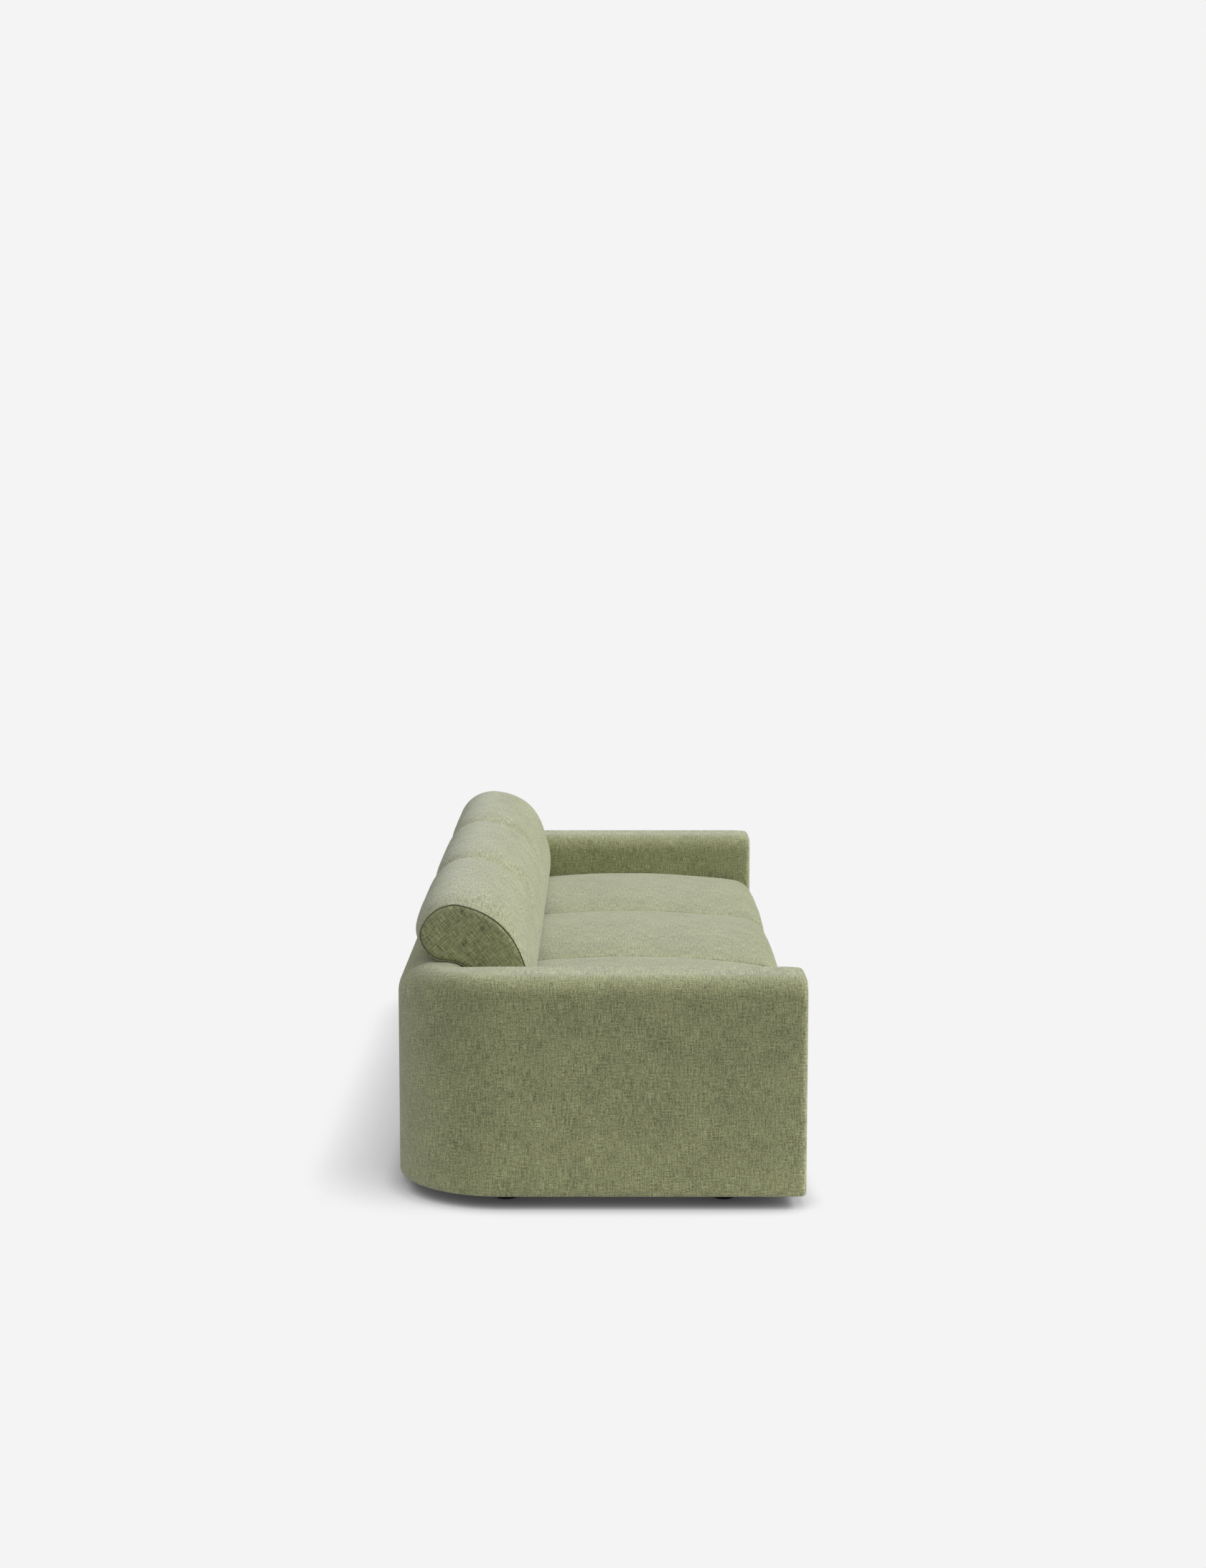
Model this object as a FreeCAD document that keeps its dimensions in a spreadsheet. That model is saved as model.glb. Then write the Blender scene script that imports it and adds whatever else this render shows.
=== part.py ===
"""Three-seat modular sofa: two arm modules and a middle module that push together, with loose
seat cushions and loose back bolsters. Millimetres, +Z up, front towards -Y, origin on the floor
under the middle of the sofa."""

import FreeCAD, Part
import Sketcher
import math
import os

doc = FreeCAD.newDocument("modular_sofa")

# Driving dimensions: alias, value in millimetres (or a plain count), meaning.
SIZES = [
    ("seat_width", "710", "width of one seat, and of the middle module"),
    ("arm_thickness", "185", "thickness of an arm over its cover"),
    ("back_thickness", "185", "thickness of the back over its cover"),
    ("sofa_depth", "980", "arm front to back face"),
    ("seat_height", "458", "floor to the crown of a seat cushion"),
    ("arm_rise", "102", "top of arms and back above the seat crown"),
    ("floor_gap", "32", "floor to the underside of the covers"),
    ("corner_radius", "262", "plan radius of the outer back corners"),
    ("top_round", "50", "rounding along the top of arms and back"),
    ("front_round", "20", "rounding round the front of an arm"),
    ("seam_round", "6", "rounding where two modules meet"),
    ("module_gap", "2", "gap between two modules pushed together"),
    ("fit_gap", "0.5", "clearance between pieces nested in each other"),
    ("slide_gap", "0.4", "clearance under and beside a loose cushion"),
    ("cover_thickness", "2", "fabric with its backing"),
    ("padding_thickness", "26", "foam over the frame of arms and back"),
    ("board_thickness", "22", "plywood boards and rails"),
    ("post_width", "45", "posts between the bottom and top boards"),
    ("brace_drop", "60", "middle brace below the rail tops"),
    ("deck_height", "230", "floor to the webbing that carries the cushions"),
    ("apron_setback", "12", "base front behind the arm fronts"),
    ("belt_width", "50", "elastic webbing"),
    ("belt_thickness", "2", "elastic webbing"),
    ("belts_across", "6", "belts side to side"),
    ("belts_along", "5", "belts front to back"),
    ("lining_thickness", "1", "dust cover under a module"),
    ("lining_inset", "15", "dust cover edge in from the cover"),
    ("block_width", "70", "foot blocks beside the rails"),
    ("block_length", "180", "foot blocks along the rails"),
    ("block_height", "60", "foot blocks"),
    ("foot_radius", "26", "foot at its top"),
    ("foot_taper", "3", "foot radius lost at the floor"),
    ("foot_in_arm", "114", "arm foot centre in from the outer face"),
    ("foot_in_block", "34", "block foot centre in from the rail"),
    ("foot_front", "190", "front feet behind the arm front"),
    ("foot_rear", "265", "rear feet in front of the back face"),
    ("stud_radius", "4", "threaded stud of a foot"),
    ("stud_length", "24", "threaded stud above the foot"),
    ("bolt_radius", "4", "bolts between base, arms and back"),
    ("bolt_head_radius", "8", "bolt head"),
    ("bolt_head_height", "5", "bolt head"),
    ("bolt_bite", "36", "bolt length inside a post"),
    ("bolt_height", "130", "floor to the bolts"),
    ("link_spacing", "90", "connector behind the foot beside it"),
    ("tongue_width", "40", "connector tongue"),
    ("tongue_reach", "45", "tongue past the split into the socket"),
    ("tongue_thickness", "3", "connector tongue"),
    ("tongue_taper", "8", "narrowing of the tongue's tip"),
    ("link_length", "60", "connector plate on its own module"),
    ("link_edge", "6", "connector plate back from the split"),
    ("plate_thickness", "2.5", "socket sheet steel"),
    ("flange_width", "20", "socket flanges"),
    ("screw_radius", "2.2", "connector screws"),
    ("screw_head_radius", "4.2", "connector screws"),
    ("screw_head_height", "2", "connector screws"),
    ("screw_length", "28", "connector screws inside the block"),
    ("seat_crown", "16", "fall of the crown towards a cushion's sides"),
    ("seat_setback", "2", "cushion front behind the arm fronts"),
    ("seat_side_gap", "2", "cushion side to its arm or split"),
    ("seat_rear_gap", "7", "cushion rear to the back"),
    ("seat_draw", "5", "cushion front drawn in at its sides"),
    ("seat_tuck", "12", "cushion front drawn in at its foot"),
    ("nose_depth", "48", "front rounding of a cushion, front to back"),
    ("nose_height", "70", "front rounding below the crown"),
    ("nose_drop", "24", "crown lost where the front rounding starts"),
    ("heel_drop", "24", "crown lost at the rear edge"),
    ("heel_round", "24", "rear top rounding of a cushion"),
    ("skin_thickness", "2", "cover of a cushion or bolster"),
    ("bolster_sink", "6", "underside of a bolster below the seat crown"),
    ("bolster_rise", "137", "bolster's sewn end above the arms"),
    ("bolster_swell", "16", "swell of the bolster between its ends"),
    ("bolster_front", "120", "bolster's sewn end in front of the back's inner face"),
    ("bolster_toe", "134", "bolster's underside in front of the back's inner face"),
    ("bolster_nose", "54", "bolster's rear nose in front of the back face"),
    ("bolster_nose_rise", "72", "rear nose above the arms"),
    ("bolster_ledge", "20", "flat that rests on the back beyond its rounding"),
    ("bolster_top_back", "142", "bolster's highest line in front of the back face"),
    ("shin_bulge", "3", "bolster front below the arm tops, off a straight line"),
    ("chest_bulge", "33", "bolster front above the arm tops, off a straight line"),
    ("shoulder_bulge", "19", "bolster top to rear nose, off a straight line"),
    ("under_bulge", "12", "bolster nose to ledge, off a straight line"),
    ("zip_margin", "55", "zip end in from the seat's side"),
    ("tape_width", "28", "zip tape"),
    ("tape_thickness", "0.8", "zip tape"),
    ("chain_width", "5", "zip teeth"),
    ("chain_height", "1.4", "zip teeth above the tape"),
    ("zip_height", "330", "floor to the zip of a seat cushion"),
    ("zip_setback", "40", "bolster zip in front of the back's inner face"),
    ("slider_length", "12", "zip slider"),
    ("slider_width", "9", "zip slider"),
    ("slider_height", "3", "zip slider over the tape"),
    ("slider_gap", "0.2", "slider to tape and teeth"),
    ("tab_length", "22", "zip pull tab"),
    ("tab_width", "6", "zip pull tab"),
    ("tab_thickness", "0.8", "zip pull tab"),
]

# Places that follow from the driving dimensions: alias, formula.
LAYOUT = [
    ("arm_height", "Sizes.seat_height + Sizes.arm_rise"),
    ("arm_inner", "1.5 * Sizes.seat_width"),
    ("half_width", "1.5 * Sizes.seat_width + Sizes.arm_thickness"),
    ("half_depth", "Sizes.sofa_depth / 2"),
    ("back_inner", "Sizes.sofa_depth / 2 - Sizes.back_thickness"),
    ("split_outer", "Sizes.seat_width / 2 + Sizes.module_gap / 2"),
    ("split_inner", "Sizes.seat_width / 2 - Sizes.module_gap / 2"),
    ("padding_inset", "Sizes.cover_thickness + Sizes.fit_gap"),
    ("cavity_inset", "padding_inset + Sizes.padding_thickness"),
    ("frame_inset", "cavity_inset + Sizes.fit_gap"),
    ("base_front", "-half_depth + Sizes.apron_setback"),
    ("base_rear", "back_inner - Sizes.fit_gap"),
    ("base_arm_side", "arm_inner - Sizes.fit_gap"),
    ("rail_inset", "Sizes.cover_thickness + Sizes.fit_gap"),
    ("rail_top", "Sizes.deck_height - 2 * Sizes.belt_thickness"),
    ("rail_front", "base_front + rail_inset"),
    ("rail_rear", "base_rear - rail_inset"),
    ("lining_bottom", "Sizes.floor_gap - Sizes.lining_thickness"),
    ("frame_top", "arm_height - frame_inset"),
    ("corner_x", "half_width - Sizes.corner_radius"),
    ("corner_y", "half_depth - Sizes.corner_radius"),
    ("foot_front_y", "-half_depth + Sizes.foot_front"),
    ("foot_rear_y", "half_depth - Sizes.foot_rear"),
    ("link_front_y", "foot_front_y + Sizes.link_spacing"),
    ("link_rear_y", "foot_rear_y - Sizes.link_spacing"),
    ("bolster_foot", "Sizes.seat_height - Sizes.bolster_sink"),
    ("zip_half", "Sizes.seat_width / 2 - Sizes.zip_margin"),
    ("tongue_top", "lining_bottom - Sizes.fit_gap"),
    ("tongue_bottom", "tongue_top - Sizes.tongue_thickness"),
]

MODULES = ("left", "centre", "right")
END_MODULES = (("left", -1), ("right", 1))
sub_parts = []


def fill_sheet(name, rows):
    """A spreadsheet with one aliased value a row."""
    sheet = doc.addObject("Spreadsheet::Sheet", name)
    for number, (alias, text, *meaning) in enumerate(rows, 1):
        sheet.set(f"A{number}", meaning[0] if meaning else alias)
        sheet.set(f"B{number}", text)
        sheet.setAlias(f"B{number}", alias)
    doc.recompute()
    return sheet


sizes = fill_sheet("Sizes", SIZES)
layout = fill_sheet("Layout", [(alias, "=" + formula) for alias, formula in LAYOUT])


def value(expression):
    """The number that an expression over the two sheets stands for."""
    result = sizes.evalExpression(expression)
    return float(getattr(result, "Value", result))


def mirrored(span, side):
    """A span of two expressions along X, on the right for side 1 and on the left for side -1."""
    low, high = span
    return (low, high) if side > 0 else (f"-({high})", f"-({low})")


def box(label, x_span, y_span, z_span, side=1):
    """A rectangular piece between low and high faces that are given as expressions."""
    piece = doc.addObject("Part::Box", label)
    spans = (mirrored(x_span, side), y_span, z_span)
    for length, axis, (low, high) in zip(("Length", "Width", "Height"), "xyz", spans):
        piece.setExpression(length, f"({high}) - ({low})")
        piece.setExpression(f"Placement.Base.{axis}", low)
    return piece


def cylinder(label, radius, height, centre, along="z"):
    """A round piece from its base centre along +X, -X, +Y or +Z; sizes are expressions."""
    turns = {
        "z": FreeCAD.Rotation(),
        "x": FreeCAD.Rotation(FreeCAD.Vector(0, 1, 0), 90),
        "-x": FreeCAD.Rotation(FreeCAD.Vector(0, 1, 0), -90),
        "y": FreeCAD.Rotation(FreeCAD.Vector(1, 0, 0), -90),
    }
    piece = doc.addObject("Part::Cylinder", label)
    piece.setExpression("Radius", radius)
    piece.setExpression("Height", height)
    piece.Placement = FreeCAD.Placement(FreeCAD.Vector(), turns[along])
    for axis, place in zip("xyz", centre):
        piece.setExpression(f"Placement.Base.{axis}", place)
    return piece


def cut(label, base, tool):
    piece = doc.addObject("Part::Cut", label)
    piece.Base = base
    piece.Tool = tool
    return piece


def fuse(label, base, tool):
    piece = doc.addObject("Part::Fuse", label)
    piece.Base = base
    piece.Tool = tool
    return piece


def group(label, pieces):
    """Separate solids that share one node."""
    piece = doc.addObject("Part::Compound", label)
    piece.Links = pieces
    return sub_part(piece)


def sub_part(piece):
    sub_parts.append(piece)
    return piece


# Bodies padded from a plan outline

def plan_body(label, corners, bottom, height):
    """A body padded up from a closed outline whose corners are pairs of expressions."""
    body = doc.addObject("PartDesign::Body", label)
    sketch = body.newObject("Sketcher::SketchObject", label + "_outline")
    plane = next(f for f in body.Origin.OriginFeatures if f.Role == "XY_Plane")
    sketch.AttachmentSupport = [(plane, "")]
    sketch.MapMode = "FlatFace"
    sketch.setExpression("AttachmentOffset.Base.z", bottom)
    points = [FreeCAD.Vector(value(x), value(y), 0) for x, y in corners]
    count = len(points)
    for index in range(count):
        sketch.addGeometry(Part.LineSegment(points[index], points[(index + 1) % count]), False)
    for index in range(count):
        following = (index + 1) % count
        sketch.addConstraint(Sketcher.Constraint("Coincident", index, 2, following, 1))
    for index, (corner, point) in enumerate(zip(corners, points)):
        for kind, place, expression in zip(("DistanceX", "DistanceY"), (point.x, point.y), corner):
            number = sketch.addConstraint(Sketcher.Constraint(kind, index, 1, place))
            sketch.setExpression(f"Constraints[{number}]", expression)
    pad = body.newObject("PartDesign::Pad", label + "_pad")
    pad.Profile = sketch
    pad.setExpression("Length", height)
    doc.recompute()
    return body


def round_edges(body, name, radius, wanted):
    """Fillets the edges of the body that the test picks."""
    found = [f"Edge{n}" for n, edge in enumerate(body.Shape.Edges, 1) if wanted(edge)]
    if not found:
        raise RuntimeError(f"{body.Label}: no edge to round for {name}")
    base = body.Tip
    fillet = body.newObject("PartDesign::Fillet", f"{body.Label}_{name}")
    fillet.Base = (base, found)
    fillet.setExpression("Radius", radius)
    doc.recompute()


def near(number, other):
    return abs(number - other) < 1e-4


def stands_at(x, y):
    """Test for an upright edge at a place in plan."""
    def test(edge):
        return all(near(v.X, x) and near(v.Y, y) for v in edge.Vertexes)
    return test


def surround_corners(side, inset):
    """Plan of an arm with its back corner and its half of the back, drawn in by an inset."""
    outer, inner = f"Layout.half_width - ({inset})", f"Layout.arm_inner + ({inset})"
    split = f"Layout.split_outer + ({inset})"
    rear, front = f"Layout.half_depth - ({inset})", f"-Layout.half_depth + ({inset})"
    back = f"Layout.back_inner + ({inset})"
    path = [(split, rear), (outer, rear), (outer, front), (inner, front), (inner, back), (split, back)]
    return [(x if side > 0 else f"-({x})", y) for x, y in path]


def back_corners(inset):
    """Plan of the middle module's back, drawn in by an inset."""
    end = f"Layout.split_inner - ({inset})"
    rear, back = f"Layout.half_depth - ({inset})", f"Layout.back_inner + ({inset})"
    return [(end, rear), (f"-({end})", rear), (f"-({end})", back), (end, back)]


def surround_block(label, side, inset, soft=True):
    """The arm, corner and back as one block; a soft one has its upholstered edges."""
    corners = surround_corners(side, inset)
    bottom, top = "Sizes.floor_gap", f"Layout.arm_height - ({inset})"
    body = plan_body(label, corners, bottom, f"{top} - {bottom}")
    places = [(value(x), value(y)) for x, y in corners]
    split, front, top_z = places[0][0], places[2][1], value(top)
    round_edges(body, "corner", f"Sizes.corner_radius - ({inset})", stands_at(*places[1]))
    if not soft:
        return body

    def at_front(edge):
        return all(near(v.Y, front) for v in edge.Vertexes)

    def at_split(edge):
        return all(near(v.X, split) for v in edge.Vertexes)

    def on_top(edge):
        return all(near(v.Z, top_z) for v in edge.Vertexes)

    def off_floor(edge):
        return edge.CenterOfMass.z > value(bottom) + value("Sizes.fit_gap")

    round_edges(body, "top", f"Sizes.top_round - ({inset})",
                lambda e: on_top(e) and not at_front(e) and not at_split(e))
    round_edges(body, "front", f"Sizes.front_round - ({inset})", lambda e: at_front(e) and off_floor(e))
    round_edges(body, "seam", f"Sizes.seam_round - ({inset})", lambda e: at_split(e) and off_floor(e))
    return body


def back_block(label, inset, soft=True):
    """The middle module's back as one block; a soft one has its upholstered edges."""
    corners = back_corners(inset)
    bottom, top = "Sizes.floor_gap", f"Layout.arm_height - ({inset})"
    body = plan_body(label, corners, bottom, f"{top} - {bottom}")
    if not soft:
        return body
    end, top_z = value(corners[0][0]), value(top)

    def at_end(edge):
        return all(near(v.X, edge.Vertexes[0].X) and near(abs(v.X), end) for v in edge.Vertexes)

    def off_floor(edge):
        return edge.CenterOfMass.z > value(bottom) + value("Sizes.fit_gap")

    round_edges(body, "top", f"Sizes.top_round - ({inset})",
                lambda e: all(near(v.Z, top_z) for v in e.Vertexes) and not at_end(e))
    round_edges(body, "seam", f"Sizes.seam_round - ({inset})", lambda e: at_end(e) and off_floor(e))
    return body


# Upholstery of arms and backs

def upholstery(prefix, block):
    """A fabric cover and, inside it, a foam layer, both open underneath."""
    name = prefix + ("back" if prefix == "centre_" else "surround")
    cover = cut(name + "_cover", block(name + "_cover_outside", "0", True),
                block(name + "_cover_inside", "Sizes.cover_thickness", True))
    padding = cut(name + "_padding", block(name + "_padding_outside", "Layout.padding_inset", True),
                  block(name + "_padding_inside", "Layout.cavity_inset", False))
    sub_part(cover)
    sub_part(padding)


for prefix, side in END_MODULES:
    upholstery(prefix + "_", lambda label, inset, soft, s=side: surround_block(label, s, inset, soft))
upholstery("centre_", back_block)


# Timber frames inside the arms and backs

def boards_and_posts(label, x_span, y_span, side, post_spans):
    """A bottom board, a top board and posts between them. post_spans are (x span, y span)."""
    low, high = "Sizes.floor_gap", "Layout.frame_top"
    thick = "Sizes.board_thickness"
    pieces = [
        box(label + "_bottom", x_span, y_span, (low, f"{low} + {thick}"), side),
        box(label + "_top", x_span, y_span, (f"{high} - {thick}", high), side),
    ]
    for number, (post_x, post_y) in enumerate(post_spans, 1):
        upright = (f"{low} + {thick}", f"{high} - {thick}")
        pieces.append(box(f"{label}_post_{number}", post_x, post_y, upright, side))
    return pieces


def corner_plate(label, side, bottom):
    """A board that carries the cover round the back corner: a quarter disc less its inner corner."""
    thick = "Sizes.board_thickness"
    disc = cylinder(label + "_disc", "Sizes.corner_radius - Layout.frame_inset", thick,
                    (f"{side} * Layout.corner_x", "Layout.corner_y", bottom))
    disc.Angle = 90
    quarter_start = 0 if side > 0 else 90
    disc.Placement.Rotation = FreeCAD.Rotation(FreeCAD.Vector(0, 0, 1), quarter_start)
    notch = box(label + "_notch", ("Layout.corner_x", "Layout.arm_inner + Layout.frame_inset"),
                ("Layout.corner_y", "Layout.back_inner + Layout.frame_inset"),
                (bottom, f"{bottom} + {thick}"), side)
    return cut(label, disc, notch)


def surround_frame(prefix, side):
    post = "Sizes.post_width"
    arm_x = ("Layout.arm_inner + Layout.frame_inset", "Layout.half_width - Layout.frame_inset")
    arm_y = ("-Layout.half_depth + Layout.frame_inset", "Layout.corner_y")
    arm_posts = [(arm_x, (arm_y[0], f"{arm_y[0]} + {post}")), (arm_x, (f"{arm_y[1]} - {post}", arm_y[1]))]
    pieces = boards_and_posts(prefix + "_arm", arm_x, arm_y, side, arm_posts)
    back_x = ("Layout.split_outer + Layout.frame_inset", "Layout.corner_x")
    back_y = ("Layout.back_inner + Layout.frame_inset", "Layout.half_depth - Layout.frame_inset")
    back_posts = [((back_x[0], f"{back_x[0]} + {post}"), back_y),
                  ((f"{back_x[1]} - {post}", back_x[1]), back_y)]
    pieces += boards_and_posts(prefix + "_back", back_x, back_y, side, back_posts)
    pieces.append(corner_plate(prefix + "_corner_bottom", side, "Sizes.floor_gap"))
    pieces.append(corner_plate(prefix + "_corner_top", side, "Layout.frame_top - Sizes.board_thickness"))
    group(prefix + "_surround_frame", pieces)


def centre_back_frame():
    end, post = "Layout.split_inner - Layout.frame_inset", "Sizes.post_width"
    back_y = ("Layout.back_inner + Layout.frame_inset", "Layout.half_depth - Layout.frame_inset")
    posts = [((f"-({end})", f"-({end}) + {post}"), back_y), ((f"({end}) - {post}", end), back_y)]
    group("centre_back_frame", boards_and_posts("centre_back", (f"-({end})", end), back_y, 1, posts))


for prefix, side in END_MODULES:
    surround_frame(prefix, side)
centre_back_frame()


# Seat bases: rails, foot blocks, skirt, webbing and dust cover

FOOT_ROWS = (("front", "Layout.foot_front_y", 1), ("rear", "Layout.foot_rear_y", -1))


def base_span(prefix):
    """The base's span along X over its cover, on the right-hand side for an end module."""
    if prefix == "centre":
        return "-Layout.split_inner", "Layout.split_inner"
    return "Layout.split_outer", "Layout.base_arm_side"


def rail_span(prefix):
    low, high = base_span(prefix)
    return f"{low} + Layout.rail_inset", f"{high} - Layout.rail_inset"


def foot_blocks(prefix, side):
    """Blocks beside the rails at each split, which take the feet and the connectors."""
    low, high = rail_span(prefix)
    thick, width = "Sizes.board_thickness", "Sizes.block_width"
    places = [("split", (f"{low} + {thick}", f"{low} + {thick} + {width}"))]
    if prefix == "centre":
        places.append(("other", (f"{high} - {thick} - {width}", f"{high} - {thick}")))
    blocks = []
    for place, x_span in places:
        for row, y, inward in FOOT_ROWS:
            edge = "Sizes.block_width / 2"
            y_span = (f"{y} - {edge}", f"{y} - {edge} + Sizes.block_length")
            if inward < 0:
                y_span = (f"{y} + {edge} - Sizes.block_length", f"{y} + {edge}")
            z_span = ("Sizes.floor_gap", "Sizes.floor_gap + Sizes.block_height")
            blocks.append(box(f"{prefix}_block_{place}_{row}", x_span, y_span, z_span, side))
    return blocks


def base_frame(prefix, side):
    low, high = rail_span(prefix)
    thick = "Sizes.board_thickness"
    front, rear = "Layout.rail_front", "Layout.rail_rear"
    upright = ("Sizes.floor_gap", "Layout.rail_top")
    between = (f"{front} + {thick}", f"{rear} - {thick}")
    middle = f"(({low}) + ({high})) / 2"
    brace_x = (f"{middle} - {thick} / 2", f"{middle} + {thick} / 2")
    brace_z = ("Sizes.floor_gap", "Layout.rail_top - Sizes.brace_drop")
    pieces = [
        box(prefix + "_front_rail", (low, high), (front, f"{front} + {thick}"), upright, side),
        box(prefix + "_rear_rail", (low, high), (f"{rear} - {thick}", rear), upright, side),
        box(prefix + "_near_rail", (low, f"{low} + {thick}"), between, upright, side),
        box(prefix + "_far_rail", (f"{high} - {thick}", high), between, upright, side),
        box(prefix + "_brace", brace_x, between, brace_z, side),
    ]
    group(prefix + "_base_frame", pieces + foot_blocks(prefix, side))


def base_cover(prefix, side):
    """Fabric skirt round the base, open above and below."""
    low, high = base_span(prefix)
    skin = "Sizes.cover_thickness"
    upright = ("Sizes.floor_gap", "Sizes.deck_height")
    outside = box(prefix + "_skirt_outside", (low, high),
                  ("Layout.base_front", "Layout.base_rear"), upright, side)
    inside = box(prefix + "_skirt_inside", (f"{low} + {skin}", f"{high} - {skin}"),
                 (f"Layout.base_front + {skin}", f"Layout.base_rear - {skin}"), upright, side)
    sub_part(cut(prefix + "_base_cover", outside, inside))


def belt_spans(low, high, count):
    """Even places for a count of belts across a span, as spans of expressions."""
    pitch = f"(({high}) - ({low})) / {count}"
    for number in range(int(value(count))):
        middle = f"({low}) + {pitch} * ({number} + 0.5)"
        yield f"{middle} - Sizes.belt_width / 2", f"{middle} + Sizes.belt_width / 2"


def webbing(prefix, side):
    """Elastic belts in two layers on the rails."""
    low, high = rail_span(prefix)
    front, rear = "Layout.rail_front", "Layout.rail_rear"
    thick = "Sizes.board_thickness"
    lower = ("Layout.rail_top", "Layout.rail_top + Sizes.belt_thickness")
    upper = ("Layout.rail_top + Sizes.belt_thickness", "Sizes.deck_height")
    belts = []
    along = belt_spans(f"{low} + {thick}", f"{high} - {thick}", "Sizes.belts_along")
    for number, x_span in enumerate(along, 1):
        belts.append(box(f"{prefix}_belt_along_{number}", x_span, (front, rear), lower, side))
    across = belt_spans(f"{front} + {thick}", f"{rear} - {thick}", "Sizes.belts_across")
    for number, y_span in enumerate(across, 1):
        belts.append(box(f"{prefix}_belt_across_{number}", (low, high), y_span, upper, side))
    group(prefix + "_webbing", belts)


def dust_cover(prefix, side):
    """Thin lining stapled under the module."""
    edge = "Sizes.lining_inset"
    front, rear = f"Layout.base_front + {edge}", f"Layout.half_depth - {edge}"
    if prefix == "centre":
        end = f"Layout.split_inner - {edge}"
        upright = ("Layout.lining_bottom", "Sizes.floor_gap")
        sub_part(box("centre_dust_cover", (f"-({end})", end), (front, rear), upright))
        return
    low, high = mirrored((f"Layout.split_outer + {edge}", f"Layout.half_width - {edge}"), side)
    corners = [(low, front), (high, front), (high, rear), (low, rear)]
    body = plan_body(prefix + "_dust_cover", corners, "Layout.lining_bottom", "Sizes.lining_thickness")
    corner = (value(high if side > 0 else low), value(rear))
    round_edges(body, "corner", f"Sizes.corner_radius - {edge}", stands_at(*corner))
    sub_part(body)


for prefix, side in (*END_MODULES, ("centre", 1)):
    base_frame(prefix, side)
    base_cover(prefix, side)
    webbing(prefix, side)
    dust_cover(prefix, side)


# Feet

def foot(label, x, y):
    """A tapered round foot with its threaded stud."""
    base = doc.addObject("Part::Cone", label + "_base")
    base.setExpression("Radius1", "Sizes.foot_radius - Sizes.foot_taper")
    base.setExpression("Radius2", "Sizes.foot_radius")
    base.setExpression("Height", "Layout.lining_bottom")
    base.setExpression("Placement.Base.x", x)
    base.setExpression("Placement.Base.y", y)
    stud_height = "Sizes.stud_length + Layout.lining_bottom / 2"
    stud = cylinder(label + "_stud", "Sizes.stud_radius", stud_height, (x, y, "Layout.lining_bottom / 2"))
    return fuse(label, base, stud)


def feet(prefix, side):
    low, high = rail_span(prefix)
    columns = [f"{low} + Sizes.board_thickness + Sizes.foot_in_block"]
    if prefix == "centre":
        columns.append(f"{high} - Sizes.board_thickness - Sizes.foot_in_block")
    else:
        columns.append("Layout.half_width - Sizes.foot_in_arm")
    pieces = []
    for number, column in enumerate(columns, 1):
        for row, y, _ in FOOT_ROWS:
            pieces.append(foot(f"{prefix}_foot_{row}_{number}", f"{side} * ({column})", y))
    group(prefix + "_feet", pieces)


for prefix, side in (*END_MODULES, ("centre", 1)):
    feet(prefix, side)


# Bolts that hold arms and backs to the bases

def bolt(label, head_place, reach, along):
    """A bolt with its head against the inner face of a rail. along is 'x', '-x' or 'y'."""
    axis, sign = along[-1], "-" if along[0] == "-" else "+"
    shank = cylinder(label + "_shank", "Sizes.bolt_radius", reach, head_place, along)
    back_off = {"+": "-", "-": "+"}[sign]
    head_base = [f"{place} {back_off} Sizes.bolt_head_height" if name == axis else place
                 for name, place in zip("xyz", head_place)]
    head = cylinder(label + "_head", "Sizes.bolt_head_radius", "Sizes.bolt_head_height", head_base, along)
    return fuse(label, head, shank)


def frame_bolts(prefix, side):
    post, height = "Sizes.post_width / 2", "Sizes.bolt_height"
    rail_face_y = "Layout.rail_rear - Sizes.board_thickness"
    back_reach = f"Layout.back_inner + Layout.frame_inset + Sizes.bolt_bite - ({rail_face_y})"
    if prefix == "centre":
        column = f"Layout.split_inner - Layout.frame_inset - {post}"
        pieces = []
        for name, sign in END_MODULES:
            place = (f"{sign} * ({column})", rail_face_y, height)
            pieces.append(bolt(f"centre_back_bolt_{name}", place, back_reach, "y"))
        group("centre_frame_bolts", pieces)
        return
    columns = (f"Layout.split_outer + Layout.frame_inset + {post}", f"Layout.corner_x - {post}")
    pieces = []
    for number, column in enumerate(columns, 1):
        place = (f"{side} * ({column})", rail_face_y, height)
        pieces.append(bolt(f"{prefix}_back_bolt_{number}", place, back_reach, "y"))
    rail_face_x = f"{rail_span(prefix)[1]} - Sizes.board_thickness"
    arm_reach = f"Layout.arm_inner + Layout.frame_inset + Sizes.bolt_bite - ({rail_face_x})"
    rows = (f"-Layout.half_depth + Layout.frame_inset + {post}", f"Layout.corner_y - {post}")
    for number, row in enumerate(rows, 1):
        place = (f"{side} * ({rail_face_x})", row, height)
        pieces.append(bolt(f"{prefix}_arm_bolt_{number}", place, arm_reach, "x" if side > 0 else "-x"))
    group(prefix + "_frame_bolts", pieces)


for prefix, side in (*END_MODULES, ("centre", 1)):
    frame_bolts(prefix, side)


# Push-fit connectors under the splits: tongues on the end modules, sockets on the middle one

LINK_ROWS = (("front", "Layout.link_front_y"), ("rear", "Layout.link_rear_y"))
plate_near = "Layout.split_outer + Sizes.link_edge"
plate_far = f"{plate_near} + Sizes.link_length"
socket_mouth = "Layout.split_inner - Sizes.link_edge"


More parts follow.
